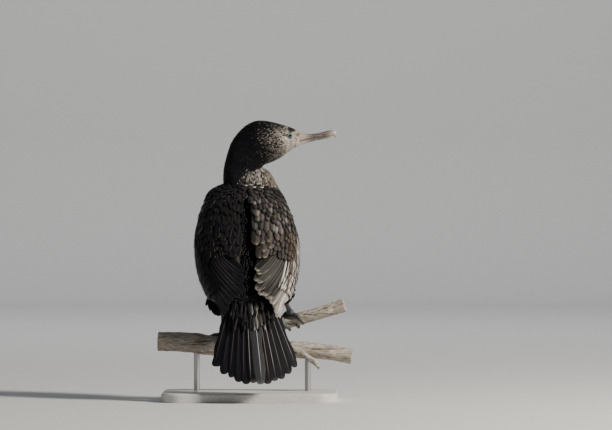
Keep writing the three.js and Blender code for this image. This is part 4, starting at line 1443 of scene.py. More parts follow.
    def dress_trunk(self) -> None:
        """Rounded feathers in rows on breast and belly, and on the back between wings and rump."""
        parts = (
            ("coat_back", Field((-0.1, 0.98), (-1.25, 1.25), 64, 44, 51), 8.6),
            ("coat_breast", Field((-0.11, 0.55), (1.3, TURN - 1.3), 46, 84, 52), 10.0),
            ("coat_belly", Field((0.5, 0.99), (1.2, TURN - 1.2), 32, 74, 53), 11.5),
        )
        for name, spread, size in parts:
            roots = spread.roots()
            behind = name == "coat_back"
            if behind:
                roots = roots[(np.abs(roots[:, 1]) < 0.42) | (roots[:, 0] > 0.72)]
            rng = np.random.default_rng(spread.seed + 200)
            count = len(roots)
            at = self.torso.point(roots[:, 0], roots[:, 1])
            luck = rng.random(count)
            long = size * rng.uniform(0.85, 1.2, count)
            reach = np.minimum(long / np.maximum(pace(self.torso, roots, at), 60), 0.08)
            tip = roots + np.stack([reach, rng.normal(0, 0.02, count)], -1)
            tip[:, 0] = np.minimum(tip[:, 0], 1.0)
            angle = np.abs((roots[:, 1] + math.pi) % TURN - math.pi)
            # The back feathers, which show in the gap between the wings, are painted at three tenths of their
            # colour as painted shade.
            tint = Markings.body(at, luck, angle, roots[:, 0]) * (0.3 if behind else 1.0)
            batch = Vanes(
                roots, tip, long * 0.62, tint, tint * 0.55, sunk=-1.2,
                lifted=(0.1 if behind else 0.7) + 0.5 * rng.random(count),
                roll=rng.normal(0, 0.04, count), seed=spread.seed,
            )
            mesh_object(name, lay(self.torso, batch), self.finish.small)

    def dress_thighs(self) -> None:
        """Thighs: longer loose dark feathers that hang towards the ankle."""
        for title, rows in zip(("left", "right"), self.thighs):
            roots = Field((0.3, 0.93), (0, TURN), 24, 30, 61).roots()
            rng = np.random.default_rng(62)
            count = len(roots)
            long = rng.uniform(9, 17, count)
            tip = roots + np.stack([long / 62, rng.normal(0, 0.1, count)], -1)
            tip[:, 0] = np.minimum(tip[:, 0], 1.0)
            tint = mix(INK * 1.2, UMBER * 0.5, 0.6 * rng.random(count))
            batch = Vanes(
                roots, tip, long * 0.36, tint, tint * 1.6, sunk=-1.2,
                lifted=1.0 + 5.5 * rng.random(count) ** 2.5, cup=0.1, seed=63, cut=Cut.POINT, ragged=0.1,
            )
            sheet = lay(Bough(rows), batch)
            mesh_object(f"coat_thigh_{title}", sheet, self.finish.small)


class Tract(Enum):
    """Feather tracts of the upper side, each with its own colours and outline."""

    MANTLE = "mantle"
    SCAPULAR = "scapular"
    COVERT = "covert"
    FLANK = "flank"


@dataclass(frozen=True)
class Tier:
    """One row of feathers across a wing: where its tips lie, and how long and wide its feathers are.

    Angles are in degrees round the body from the back, and lengths in millimetres.
    """

    tract: Tract
    end: float
    first: float
    last: float
    pitch: float
    length: float
    width: float
    lifted: float


def wing_tiers() -> list[Tier]:
    """All rows of small and middle-sized feathers.

    Returns:
        The rows, each tract's own from the shoulder down.
    """
    tiers = []
    for k in range(10):
        end, pitch = -0.075 + 0.285 * (k / 9) ** 1.1, 6.6 + 0.13 * k
        tiers.append(Tier(Tract.MANTLE, end, 0.5, 104 - 0.45 * k, pitch, 17 + 0.6 * k, 9 + 0.2 * k, 1.1))
    for k in range(9):
        tiers.append(Tier(Tract.COVERT, 0.24 + 0.048 * k, 46 - 2.7 * k, 104 - 5.0 * k, 6.6, 25, 8.4, 0.6))
    for end, first, last, pitch, length, width in (
        (0.245, 3.5, 84, 7.0, 25, 9.0),
        (0.285, 5, 76, 7.2, 27, 9.0),
        (0.33, 6.5, 69, 7.4, 29, 9.2),
        (0.38, 7, 61, 7.6, 33, 9.4),
        (0.435, 7, 53, 8.0, 37, 10),
        (0.49, 7, 45, 8.6, 40, 11),
        (0.545, 7.5, 37, 9.4, 42, 12.5),
        (0.595, 8.5, 30, 10.5, 44, 14),
        (0.64, 8, 20, 10.5, 44, 14),
    ):
        tiers.append(Tier(Tract.SCAPULAR, end, first, last, pitch, length, width, 1.7))
    for k in range(10):
        share = k / 9
        end, first, last = 0.36 + 0.54 * share, 82 - 40 * share, 114 - 22 * share
        tiers.append(Tier(Tract.FLANK, end, first, last, 3.3, 46, 4.2, 2.0 - 0.8 * share))
    return tiers


@dataclass
class Wing:
    """A folded wing, on the left (-1) or right (1): a dark bed, the long quills, and tiers over them.

    A quill's row is its root's share and degrees, its tip's share and degrees, and its width.
    """

    finish: Palette
    side: int
    name: str
    seed: int
    surface: Loft = field(default_factory=lambda: Loft(PLUMAGE, Plane.BODY))
    along: float = 197.0
    quills: tuple[tuple[float, float, float, float, float], ...] = (
        (0.55, 33, 0.775, 7.5, 15),
        (0.54, 37, 0.80, 9.5, 13),
        (0.53, 41, 0.865, 6.5, 15),
        (0.525, 44, 0.89, 10.5, 13),
        (0.52, 48, 0.955, 8.5, 16),
        (0.52, 52, 0.985, 13.5, 14),
        (0.53, 55, 1.0, 19.5, 14),
        (0.54, 60, 1.02, 27.5, 20),
        (0.56, 66, 1.055, 38, 14),
        (0.58, 71, 1.095, 46.5, 12),
        (0.6, 75, 1.13, 54, 11),
        (0.62, 79, 1.145, 60, 10.5),
        (0.62, 84, 1.11, 65, 10),
        (0.61, 89, 1.07, 70, 10),
        (0.6, 94, 1.01, 77, 10),
    )

    def point(self, a: Array, b: Array, height: Array | float = 0.0) -> Array:
        """Places on the folded wing: the plumage's own surface, mirrored for the left wing."""
        return self.surface.point(a, self.side * np.asarray(b), height)

    def build(self) -> None:
        """Makes bed, quills and tiers, and hides the wing's solid."""
        mesh_object(f"{self.name}_bed", self.bed(), self.finish.skin)
        quills = mesh_object(f"{self.name}_quills", self.long_feathers(), self.finish.quill)
        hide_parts(self.name)
        for tract, stations, columns in (
            (Tract.FLANK, 7, 5),
            (Tract.COVERT, 9, 5),
            (Tract.SCAPULAR, 13, 7),
            (Tract.MANTLE, 9, 5),
        ):
            sheet = self.rows_of(tract, stations, columns)
            mesh_object(f"{self.name}_{tract.value}", sheet, self.finish.scapular)

    def bed(self) -> Sheet:
        """The bed: a closed dark slab between 2.4 and 4.5 mm under the plumage, thinner near its rim.

        Returns:
            The slab, with its tint.
        """
        a, b = np.meshgrid(np.linspace(0.03, 0.98, 40), np.linspace(0, 1, 24), indexing="ij")
        inner = np.radians(9 + 50 * ease(0.8, 1.1, a))
        outer = np.radians(92 + 18 * ease(0.02, 0.25, a) - 30 * ease(0.55, 1.0, a))
        angle = inner + (outer - inner) * b
        rim = np.minimum(1, np.minimum(6 * np.minimum(b, 1 - b), 8 * np.minimum((a - 0.03), 0.98 - a)))
        top = self.point(a, angle, -2.4 - 1.0 * (1 - rim))
        low = self.point(a, angle, -3.5 - 1.0 * rim)
        sheet = slab(top, low)
        sheet.colours["Tint"] = np.tile(SOOT * 0.8, (len(sheet.points), 1))
        return sheet

    def colours(
        self, tract: Tract, a: Array, degrees: Array, rng: np.random.Generator
    ) -> tuple[Array, Array]:
        """Middle and edge colours of feathers, with painted light: the right wing gets paler copies painted as
        if sunlit, and the left wing darker copies painted as shade.

        Args:
            tract: which feathers.
            a: shares along the body of their tips.
            degrees: angles of their tips.
            rng: source of chance.

        Returns:
            Colours of the vane's middle and of its fringe.
        """
        luck, pick = rng.random(len(a)), rng.random(len(a))
        points = self.point(a, np.radians(degrees))
        # Painted light: lit picks the right wing's paler, sunlit copy of each tract's colours; the left wing
        # gets a darker copy as painted shade.
        lit = self.side > 0
        cloud = ease(-0.6, 0.6, waves(points, 24, 71 + self.seed))
        dark = mix(NAVY, SOOT * 1.3, cloud)
        ink = np.tile(INK * 0.7, (len(a), 1))
        if tract is Tract.MANTLE:
            share = ease(0.0, 0.2, a) * (0.2 + 0.8 * luck**1.5) + 0.12 * luck
            # Mantle: the bronze share and the white flecks are dimmed on the left wing as painted shade.
            middle = mix(dark * 1.2, BRONZE * 1.1, share * (0.9 if lit else 0.2))
            fleck = (np.abs(points[:, 0] - 4) < 17) & (a < 0.1) & (pick > 0.6)
            edge = np.where(fleck[:, None], CHALK * (1.0 if lit else 0.3), ink)
            return mix(middle, edge, 0.3 * fleck), edge
        if tract is Tract.SCAPULAR:
            # Scapulars: warm bronze on the right as painted sunlight, with some brightened at random by luck,
            # partly their own tone and partly painted highlights; dark on the left as painted shade.
            warm = mix(BRONZE * 1.35, TAN, (pick > 0.8) * 0.7)
            warm = mix(warm, OLIVE * 1.7, (pick < 0.3) * 0.8) * (0.3 + 1.15 * luck[:, None] ** 2)
            last = ease(0.44, 0.56, a)
            if lit:
                return mix(warm, BRONZE * 0.6, last), mix(ink, BEIGE * 0.7, 0.8 * last)
            return mix(dark, BRONZE * 0.4, 0.4 * luck), mix(ink, UMBER * 0.3, last)
        if tract is Tract.COVERT:
            brown = mix(UMBER, BEIGE * 0.6, luck**2 * ease(50, 75, degrees))
            outer = ease(40, 58, degrees) * ease(0.28, 0.42, a)
            pale = (0.15 + 0.7 * luck**2) * ease(50, 66, degrees) * ease(0.34, 0.46, a)
            # Coverts: brown with cream fringes on the right as painted sunlight, dark on the left as painted
            # shade.
            if lit:
                return mix(BRONZE * 0.6, brown, outer), mix(ink, CREAM * 0.9, pale)
            return mix(dark, UMBER * 0.4, 0.6 * luck), ink
        # Flanks: pale streaks are the plumage's own on both sides, but white on the right is painted sunlight
        # and dull olive on the left is painted shade.
        if lit:
            streak = mix(UMBER * 1.5, CHALK, ease(0.3, 0.55, luck) * ease(0.36, 0.5, a))
            return streak, mix(streak * 0.5, CHALK, (pick > 0.6) * 0.7 * ease(0.4, 0.55, a))
        mossy = OLIVE * np.array([1.9, 1.65, 1.3])
        olive = mix(SOOT * 1.3, mossy, ease(0.35, 0.85, luck) * ease(66, 88, degrees))
        return olive, olive * 0.5

    def rows_of(self, tract: Tract, stations: int, columns: int) -> Sheet:
        """All tiers of one tract, each tier shifted by half a feather from the one before.

        Args:
            tract: which feathers.
            stations: points along each.
            columns: points across each.

        Returns:
            One sheet with all of them.
        """
        rng = np.random.default_rng(self.seed + len(tract.value))
        roots, tips, widths, lifts, middles, edges = [], [], [], [], [], []
        for k, tier in enumerate(t for t in wing_tiers() if t.tract is tract):
            radius = hermite(PLUMAGE, np.array(max(tier.end, 0.02)))[4]
            pitch = math.degrees(tier.pitch / radius)
            count = max(2, int((tier.last - tier.first) / pitch))
            angles = tier.first + pitch * (np.arange(count) + 0.5 * (k % 2))
            angles = angles + rng.normal(0, 0.18 * pitch, count)
            length = tier.length / self.along * rng.uniform(0.9, 1.1, count)
            ends = tier.end + rng.normal(0, 0.26 * tier.pitch / self.along, count)
            inward = {Tract.MANTLE: 0.5, Tract.SCAPULAR: 5.0, Tract.COVERT: 5.0, Tract.FLANK: 7.0}[tract]
            turned = angles + inward * (0.4 + angles / 70) + rng.normal(0, 0.8, count)
            roots.append(np.stack([np.maximum(ends - length, -0.119), np.radians(turned)], -1))
            tips.append(np.stack([ends, np.radians(angles)], -1))
            widths.append(tier.width * rng.uniform(0.86, 1.14, count))
            lifts.append(tier.lifted + rng.uniform(-0.2, 0.35, count))
            middle, edge = self.colours(tract, ends, angles, rng)
            middles.append(middle)
            edges.append(edge)
        batch = Vanes(
            *map(np.concatenate, (roots, tips, widths, middles, edges)), sunk=-2.2,
            lifted=np.concatenate(lifts), roll=0.02, cup=0.05, thick=0.22, shaft=0.12, ragged=0.06,
            cut=Cut.POINT if tract is Tract.FLANK else Cut.SCALE, stations=stations, columns=columns,
            seed=self.seed,
        )
        return lay(self, batch, atlas=True)

    def long_feathers(self) -> Sheet:
        """Tertials, secondaries and primaries, the innermost on top, the outer ones of the right wing pale:
        partly their own pale-brown colour and partly painted sunlight, while the left wing's are painted dark
        as shade.

        Returns:
            One sheet with all of them.
        """
        rng = np.random.default_rng(self.seed + 9)
        table = np.array(self.quills)
        count = len(table)
        order = np.arange(count)
        luck = rng.random(count)
        table[:, 2] += rng.normal(0, 0.006, count)
        table[:, 4] *= rng.uniform(0.9, 1.12, count)
        grey = mix(BRONZE * 0.22, OLIVE * 0.5, luck)
        # The right wing's pale outer quills and cream fringes are partly their own colour and partly painted
        # sunlight; the left wing's dark quills and fringes are painted shade.
        pale = mix(CHALK * 0.85, UMBER * 2.2, (order % 2) * 0.75)
        right = mix(grey, pale, ease(7.0, 9.5, order))
        left = mix(NAVY * 0.9, SOOT * 1.1, luck) * (0.8 + 0.4 * luck[:, None])
        tint, fringe = (right, CREAM * 0.8) if self.side > 0 else (left, SOOT * 1.2)
        batch = Vanes(
            np.stack([table[:, 0], np.radians(table[:, 1])], -1),
            np.stack([table[:, 2], np.radians(table[:, 3])], -1),
            table[:, 4], tint, np.tile(fringe, (count, 1)),
            sunk=-2.7, lifted=1.5 - 0.15 * order, roll=0.05, bow=-0.35, cup=0.05, thick=0.4, shaft=0.4,
            shaft_side=0.3, ragged=0.02, cut=Cut.QUILL, stations=30, columns=13, seed=self.seed + 10,
        )
        return lay(self, batch, atlas=True)


@dataclass
class Tail:
    """Tail feathers with the middle pair on top, their coverts and the rump."""

    finish: Palette
    plane: TailPlane = field(default_factory=TailPlane)
    feathers: int = 12
    root_pitch: float = 4.4
    width: float = 15.0
    shorten: float = 0.25
    curve: float = 2.6
    step: float = 0.95
    coverts: int = 84

    def build(self) -> None:
        """Makes the feathers, the coverts and the rump."""
        quills = mesh_object("tail_feathers", self.rectrices(), self.finish.rectrix)
        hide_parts("tail")
        mesh_object("tail_coverts", self.covering(), self.finish.scapular)
        rump = tube(self.rump_point, 22, 28)
        rump.colours["Tint"] = np.tile(SOOT, (len(rump.points), 1))
        mesh_object("tail_rump", rump, self.finish.skin)

    def rump_point(self, a: Array, b: Array) -> Array:
        """The fleshy root: half width swells as the root of a sine, thickness falls along.

        Args:
            a: share along.
            b: angle round, in radians.

        Returns:
            Places in millimetres.
        """
        half = (26 + 3 * a) * np.sqrt(np.maximum(0.02, np.sin(math.pi * (0.1 + 0.86 * a))))
        thick = 5.6 - 3.8 * a
        return self.plane.point(-0.1 + 0.42 * a, half * np.sin(b), -2.2 + thick * np.cos(b))

    def rectrices(self) -> Sheet:
        """Stiff tail feathers with pale shafts that lie nearer their outer edge; the shafts are painted paler
        towards the right and on the middle feathers as painted light.

        Returns:
            One sheet with all of them.
        """
        rng = np.random.default_rng(81)
        place = np.arange(self.feathers) - (self.feathers - 1) / 2
        off = place / place.max()
        level = -self.step * (np.abs(place) - 0.5) + self.step / 2 * (place > 0)
        reach = 1 - self.shorten * np.abs(off) ** self.curve + rng.normal(0, 0.014, self.feathers)
        tip = np.stack([reach, self.plane.half * off], -1)
        root = np.stack([np.full(self.feathers, 0.0), self.root_pitch * place], -1)
        tint = np.tile(mix(INK, SOOT, 0.4), (self.feathers, 1)) * rng.uniform(0.6, 1.3, (self.feathers, 1))
        # Shaft colours: the shafts are pale of their own, but their rise from dark on the left to pale on the
        # right is painted sunlight, and the three bright middle shafts are partly painted highlights.
        quill = mix(np.tile(BRONZE, (self.feathers, 1)), CHALK * 0.45, ease(-0.2, 0.4, off))
        quill *= rng.uniform(0.6, 1.2, (self.feathers, 1))
        quill[5:8] = CHALK * 0.6, CHALK * 0.8, BEIGE * 0.6
        # One middle feather is painted grey-blue as a painted highlight where the light catches it.
        tint[6] = BRONZE * np.array([0.4, 0.47, 0.58])
        width = self.width * rng.uniform(0.85, 1.08, self.feathers)
        shaft_side = 0.4 * np.sign(place) + rng.normal(0, 0.07, self.feathers)
        batch = Vanes(
            root, tip, width, tint, quill, sunk=level - 0.4, lifted=level, roll=-0.02 * np.sign(place),
            cup=0.045, thick=0.45, shaft=0.5, shaft_side=shaft_side, ragged=0.12, cut=Cut.BLUNT, stations=34,
            columns=15, seed=82,
        )
        return lay(self.plane, batch, atlas=True)

    def covering(self) -> Sheet:
        """Uppertail coverts: dark, with a few long pale grey-brown ones on the right.

        Returns:
            One sheet with all of them.
        """
        rng = np.random.default_rng(91)
        count = self.coverts
        off = rng.permutation(np.linspace(-1, 1, count))
        order = np.arange(count) / count
        root = np.stack([-0.24 + 0.28 * order, 22 * off], -1)
        reach = -0.02 + 0.44 * order + rng.normal(0, 0.02, count) - 0.05 * off**2
        tip = np.stack([reach, (23 + 24 * reach) * off + rng.normal(0, 1.5, count)], -1)
        tint = np.tile(SOOT, (count, 1)) * rng.uniform(0.4, 1.2, (count, 1))
        pale = (np.abs(off - 0.4) < 0.34) & (order > 0.35) & (rng.random(count) > 0.5)
        tint = np.where(pale[:, None], mix(BRONZE * 1.3, OLIVE * 2.0, rng.random(count)), tint)
        fringe = np.where(pale[:, None], CHALK * 0.4, INK)
        batch = Vanes(
            root, tip, rng.uniform(6, 9, count), tint, fringe, sunk=1.6 - 1.2 * order,
            lifted=4.4 - 2.9 * order - 1.2 * np.abs(off), cup=0.1, thick=0.3, shaft=0.2, ragged=0.08,
            cut=Cut.POINT, stations=12, columns=7, seed=92,
        )
        return lay(self.plane, batch, atlas=True)


@dataclass
class Bill:
    """Both halves of the closed bill."""

    finish: Palette
    upper: Loft = field(default_factory=lambda: Loft(UPPER_BILL, Plane.TURNED, 0.8))
    lower: Loft = field(default_factory=lambda: Loft(LOWER_BILL, Plane.TURNED, 0.8))
    groove: float = 0.35
    groove_turn: float = 0.95
    upper_lap: float = 0.45
    lower_lap: float = 0.8

    def build(self) -> None:
        """Makes the two halves and hides each half's solid."""
        for name, surface in (("bill_upper", self.upper_point), ("bill_lower", self.lower_point)):
            piece = mesh_object(f"{name}_horn", tube(surface, 72, 48), self.finish.horn)
            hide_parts(name)

    def upper_point(self, a: Array, b: Array) -> Array:
        """Upper half: a groove runs beside its ridge, and its under side reaches the lower half.

        Args:
            a: share along.
            b: angle round, in radians.

        Returns:
            Places in millimetres.
        """
        turn = np.abs((b + math.pi) % TURN - math.pi)
        dip = self.groove * np.exp(-(((turn - self.groove_turn) / 0.16) ** 2)) * ease(1.0, 0.72, a)
        return self.upper.point(a, b, self.upper_lap * ease(1.2, 2.6, turn) - dip)

    def lower_point(self, a: Array, b: Array) -> Array:
        """Lower half: its upper side reaches into the upper half, so that the bill closes.

        Args:
            a: share along.
            b: angle round, in radians.

        Returns:
            Places in millimetres.
        """
        turn = np.abs((b + math.pi) % TURN - math.pi)
        return self.lower.point(a, b, self.lower_lap * ease(1.9, 0.6, turn) * ease(1.0, 0.93, a))


@dataclass
class Eye:
    """An eyeball with its lid ring, on the left (-1) or right (1) side of the head."""

    finish: Palette
    side: int
    name: str
    cornea: float = 0.25
    lid_reach: float = 3.75
    lid_out: float = 3.0
    lid_thick: float = 0.85
    beads: int = 26

    def centre(self) -> Array:
        """The ball's centre: the eye that the camera sees, or its mirror place beyond the head's middle."""
        y = HEAD_DEPTH - self.side * (HEAD_DEPTH - EYE_CENTRE[1])
        return np.array([EYE_CENTRE[0], y, EYE_CENTRE[2]])

    def build(self) -> None:
        """Makes the ball, and the beaded ring of bare skin round it."""
        piece = mesh_object(f"{self.name}_ball", tube(self.ball, 48, 48), self.finish.eye)
        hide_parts(self.name)
        lids = tube(self.lid, 156, 12, close=True)
        mesh_object(f"{self.name}_lids", lids, self.finish.lid)

    def ball(self, a: Array, b: Array) -> Array:
        """Ball round the eye's axis, a from the front, with the cornea a little proud.

        Args:
            a: share along.
            b: angle round, in radians.

        Returns:
            Places in millimetres.
        """
        polar = 0.01 + a * (math.pi - 0.02)
        radius = EYE_RADIUS + self.cornea * ease(0.75, 0.3, polar)
        ring = radius * np.sin(polar)
        turned = [ring * np.cos(b), -self.side * radius * np.cos(polar), ring * np.sin(b)]
        return self.centre() + np.stack(turned, -1)

    def lid(self, a: Array, b: Array) -> Array:
        """Almond-shaped ring round the ball, with small beads along it.

        Args:
            a: share along.
            b: angle round, in radians.

        Returns:
            Places in millimetres.
        """
        spin = TURN * a
        thick = self.lid_thick * (1 + 0.12 * np.cos(self.beads * spin))
        reach = self.lid_reach + thick * np.cos(b) + 0.25 * np.cos(2 * spin)
        out = self.lid_out + 0.8 * thick * np.sin(b) - 0.012 * reach**2
        ring = [reach * np.cos(spin), -self.side * out, 0.92 * reach * np.sin(spin)]
        return self.centre() + np.stack(ring, -1)


def path_tube(
    points: Array, radii: Sequence[float], rings: int, sides: int, swell: Shape | None = None
) -> Sheet:
    """A tube along a smooth line through points.

    The line is a cubic through the points by their distance along it. Each ring lies square to the line, and
    its first direction is the line's own crossed with one fixed direction.

    Args:
        points: the line's points in millimetres.
        radii: one radius for each, or for an even spread of shares.
        rings: how many rings.
        sides: points in a ring.
        swell: extra radius share for share along and angle.

    Returns:
        The closed tube.
    """
    steps = np.linalg.norm(np.diff(points, axis=0), axis=1)
    share = np.concatenate([[0], np.cumsum(steps)]) / steps.sum()
    line = np.column_stack([share, points])
    radius_rows = np.column_stack([np.linspace(0, 1, len(radii)), radii])
    at = np.linspace(0, 1, rings)
    middle = hermite(line, at)
    forward = unit(np.gradient(middle, axis=0))
    side = unit(np.cross(forward, (0.31, 0.87, 0.38)))
    up = unit(np.cross(side, forward))
    radius = hermite(radius_rows, at)[:, 0]

    def surface(a: Array, b: Array) -> Array:
        """Middle + radius * (side * cos + up * sin), swollen."""
        grow = 1 + (swell(a, b) if swell else 0 * a)
        reach = radius[:, None, None] * grow[..., None]
        cos, sin = np.cos(b)[..., None], np.sin(b)[..., None]
        return middle[:, None] + reach * (side[:, None] * cos + up[:, None] * sin)

    return tube(surface, rings, sides)


Toe = tuple[tuple[float, float], ...]


@dataclass
class Foot:
    """A leg and its foot, wrapped round a branch: scaled shank, pad, toes joined by webs, and claws.

    A toe is a row of places over the bark: share along the branch from the foot's own, and degrees round it.
    Webs are the numbers of the toes that have a web to the next one.
    """

    finish: Palette
    name: str
    branch: Bough
    at: float
    ankle: Place
    joint: Place
    toes: tuple[Toe, ...]
    webs: tuple[int, ...]
    web_reach: float
    root: float = 3.2
    end: float = 1.7
    pad: float = 5.4
    shank_radii: tuple[float, ...] = (4.4, 3.1, 3.0, 3.4, 4.2)
    claw_radii: tuple[float, ...] = (1.45, 1.4, 1.05, 0.35)
    web_thick: float = 0.7
    web_grid: int = 16

    def build(self) -> None:
        """Makes the shank, the toes with webs, and the claws."""
        ankle, joint = np.array(self.ankle), np.array(self.joint)
        line = np.stack([ankle, (ankle + joint) / 2, joint])
        shank = path_tube(line, self.shank_radii, 90, 24, self.scutes)
        piece = mesh_object(f"leg_{self.name}_shank", shank, self.finish.leg)
        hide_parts(f"leg_{self.name}")
        solids = [self.toe_sheet(toe) for toe in self.toes]
        solids.append(self.pad_sheet())
        solids.extend(self.web_sheet(i) for i in self.webs)
        foot = mesh_object(f"foot_{self.name}_skin", joined(solids), self.finish.leg)
        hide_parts(f"foot_{self.name}")
        claws = joined([self.claw_sheet(toe) for toe in self.toes])
        mesh_object(f"foot_{self.name}_claws", claws, self.finish.claw)

    @staticmethod
    def scutes(a: Array, b: Array) -> Array:
        """Rings of overlapping scales: a saw wave of 24 teeth along the shank, strongest on one side."""
        return 0.05 * ((a * 24) % 1.0 - 0.5) * (0.4 + 0.6 * np.maximum(0, np.cos(b - 1.2)))

    def toe_points(self, toe: Toe) -> Array:
        """The toe's middle line: the joint, then places over the bark.

        Args:
            toe: its places over the bark.

        Returns:
            Places in millimetres, one row each.
        """
        table = np.array(toe)
        lift = self.root + (self.end - self.root) * np.arange(len(table)) / (len(table) - 1) + 0.2
        over = self.branch.point(self.at + table[:, 0], np.radians(table[:, 1]), lift)
        return np.concatenate([np.array([self.joint]), over])

    def toe_sheet(self, toe: Toe) -> Sheet:
        """A toe with joints that swell and a row of scutes.

        Args:
            toe: its places over the bark.

        Returns:
            The toe.
        """

        def swell(a: Array, b: Array) -> Array:
            """Knuckles as a cosine along the toe, and scales as a saw wave."""
            return 0.09 * np.cos(TURN * a * (len(toe) - 0.5)) + 0.05 * ((a * 20) % 1.0 - 0.5)

        radii = (self.root + 0.6, self.root, 2.7, 2.3, self.end)
        return path_tube(self.toe_points(toe), radii, 80, 18, swell)

    def pad_sheet(self) -> Sheet:
        """A rounded pad where leg and toes meet.

        Returns:
            The pad.
        """
        joint = np.array(self.joint)

        def surface(a: Array, b: Array) -> Array:
            """A ball flattened to 85 hundredths of its height."""
            polar = 0.01 + a * (math.pi - 0.02)
            ring = self.pad * np.sin(polar)
            return joint + np.stack([ring * np.cos(b), ring * np.sin(b), 0.85 * self.pad * np.cos(polar)], -1)

        return tube(surface, 24, 24)

    def claw_sheet(self, toe: Toe) -> Sheet:
        """A curved claw that grips the bark beyond the toe's end.

        Args:
            toe: its places over the bark.

        Returns:
            The claw.
        """
        points = self.toe_points(toe)
        along, turn = toe[-1]
        tips = [
            self.branch.point(
                np.array(self.at + along), np.radians(turn + math.copysign(further, turn)), np.array(height)
            )
            for further, height in ((13, 2.3), (26, 0.9))
        ]
        start = points[-1] * 0.85 + points[-2] * 0.15
        return path_tube(np.stack([start, points[-1], *tips]), self.claw_radii, 26, 14)

    def web_sheet(self, i: int) -> Sheet:
        """The web between two toes: a thin slack sheet whose free edge is scooped by a sine.

        Args:
            i: number of the first toe.

        Returns:
            The web.
        """
        first, second = (self.toe_points(self.toes[k]) for k in (i, i + 1))
        even = np.linspace(0, 1, self.web_grid)
        a, b = np.meshgrid(even, even, indexing="ij")
        reach = 0.3 + (self.web_reach - 0.3 - 0.3 * np.sin(math.pi * b)) * a
        rows = [np.column_stack([np.linspace(0, 1, len(p)), p]) for p in (first, second)]
        place = hermite(rows[0], reach) * (1 - b)[..., None] + hermite(rows[1], reach) * b[..., None]
        middle, forward, _, _, radius = self.branch.frame(np.array(self.at))
        out = place - middle
        out = out - (out @ forward)[..., None] * forward
        size = np.maximum(np.linalg.norm(out, axis=-1), radius + 1.5)
        axis = place - out
        ripple = 0.2 * np.sin(9 * b) * a
        half = self.web_thick / 2
        return slab(*(axis + unit(out) * (size + ripple + h)[..., None] for h in (half, -half)))


@dataclass(frozen=True)
class Branch:
    """One cut length of wood: its rows, the grid of its bark, and how deep its ridges are."""

    name: str
    rows: Rows
    rings: int
    sides: int
    deep: float

    def bark(self, a: Array, b: Array) -> Array:
        """Bark: the branch's tube with knots, and long ridges as sines that twist slowly round it.

        Args:
            a: share along.
            b: angle round, in radians.

        Returns:
            Places in millimetres.
        """
        wood, phase = Bough(self.rows), len(self.name) + self.rings
        knots = 0.35 * np.sin(3 * b + 9 * a) + 0.3 * np.sin(2 * b - 17 * a)
        ridges = self.deep * np.sin(9 * b + 5 * np.sin(7 * a + phase)) * (0.5 + 0.5 * np.sin(31 * a + 2 * b))
        fine = self.deep * 0.8 * waves(wood.point(a, b) * np.array([0.25, 1, 1]), 3.2, phase)
        return wood.point(a, b, knots + ridges * 0.7 + fine)


@dataclass
class Perch:
    """The cut limb with its fork and twig."""

    finish: Palette
    branches: tuple[Branch, ...] = (
        Branch("perch_limb", LIMB, 420, 72, 0.5),
        Branch("perch_fork", FORK, 260, 56, 0.4),
        Branch("perch_twig", TWIG, 110, 32, 0.15),
    )

    def build(self) -> None:
        """Makes each branch with ridged bark and flat sawn ends."""
        for branch in self.branches:
            name = branch.name
            bark = tube(branch.bark, branch.rings, branch.sides)
            piece = mesh_object(f"{name}_bark", bark, self.finish.bark)
            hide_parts(name)


@dataclass(frozen=True)
class Lamp:
    """A square area light, in metres and watts, turned to a place."""

    name: str
    place: Place
    size: float
    power: float
    colour: Triple
    aim: Place = (0.0, 0.0, 0.2)

    def hang(self) -> None:
        """Puts the light into the scene."""
        data = bpy.data.lights.new(self.name, "AREA")
        data.size = self.size
        data.energy = self.power
        data.color = self.colour
        lamp = bpy.data.objects.new(self.name, data)
        lamp.location = self.place
        lamp.rotation_euler = (Vector(self.aim) - Vector(self.place)).to_track_quat("-Z", "Y").to_euler()
        bpy.context.scene.collection.objects.link(lamp)


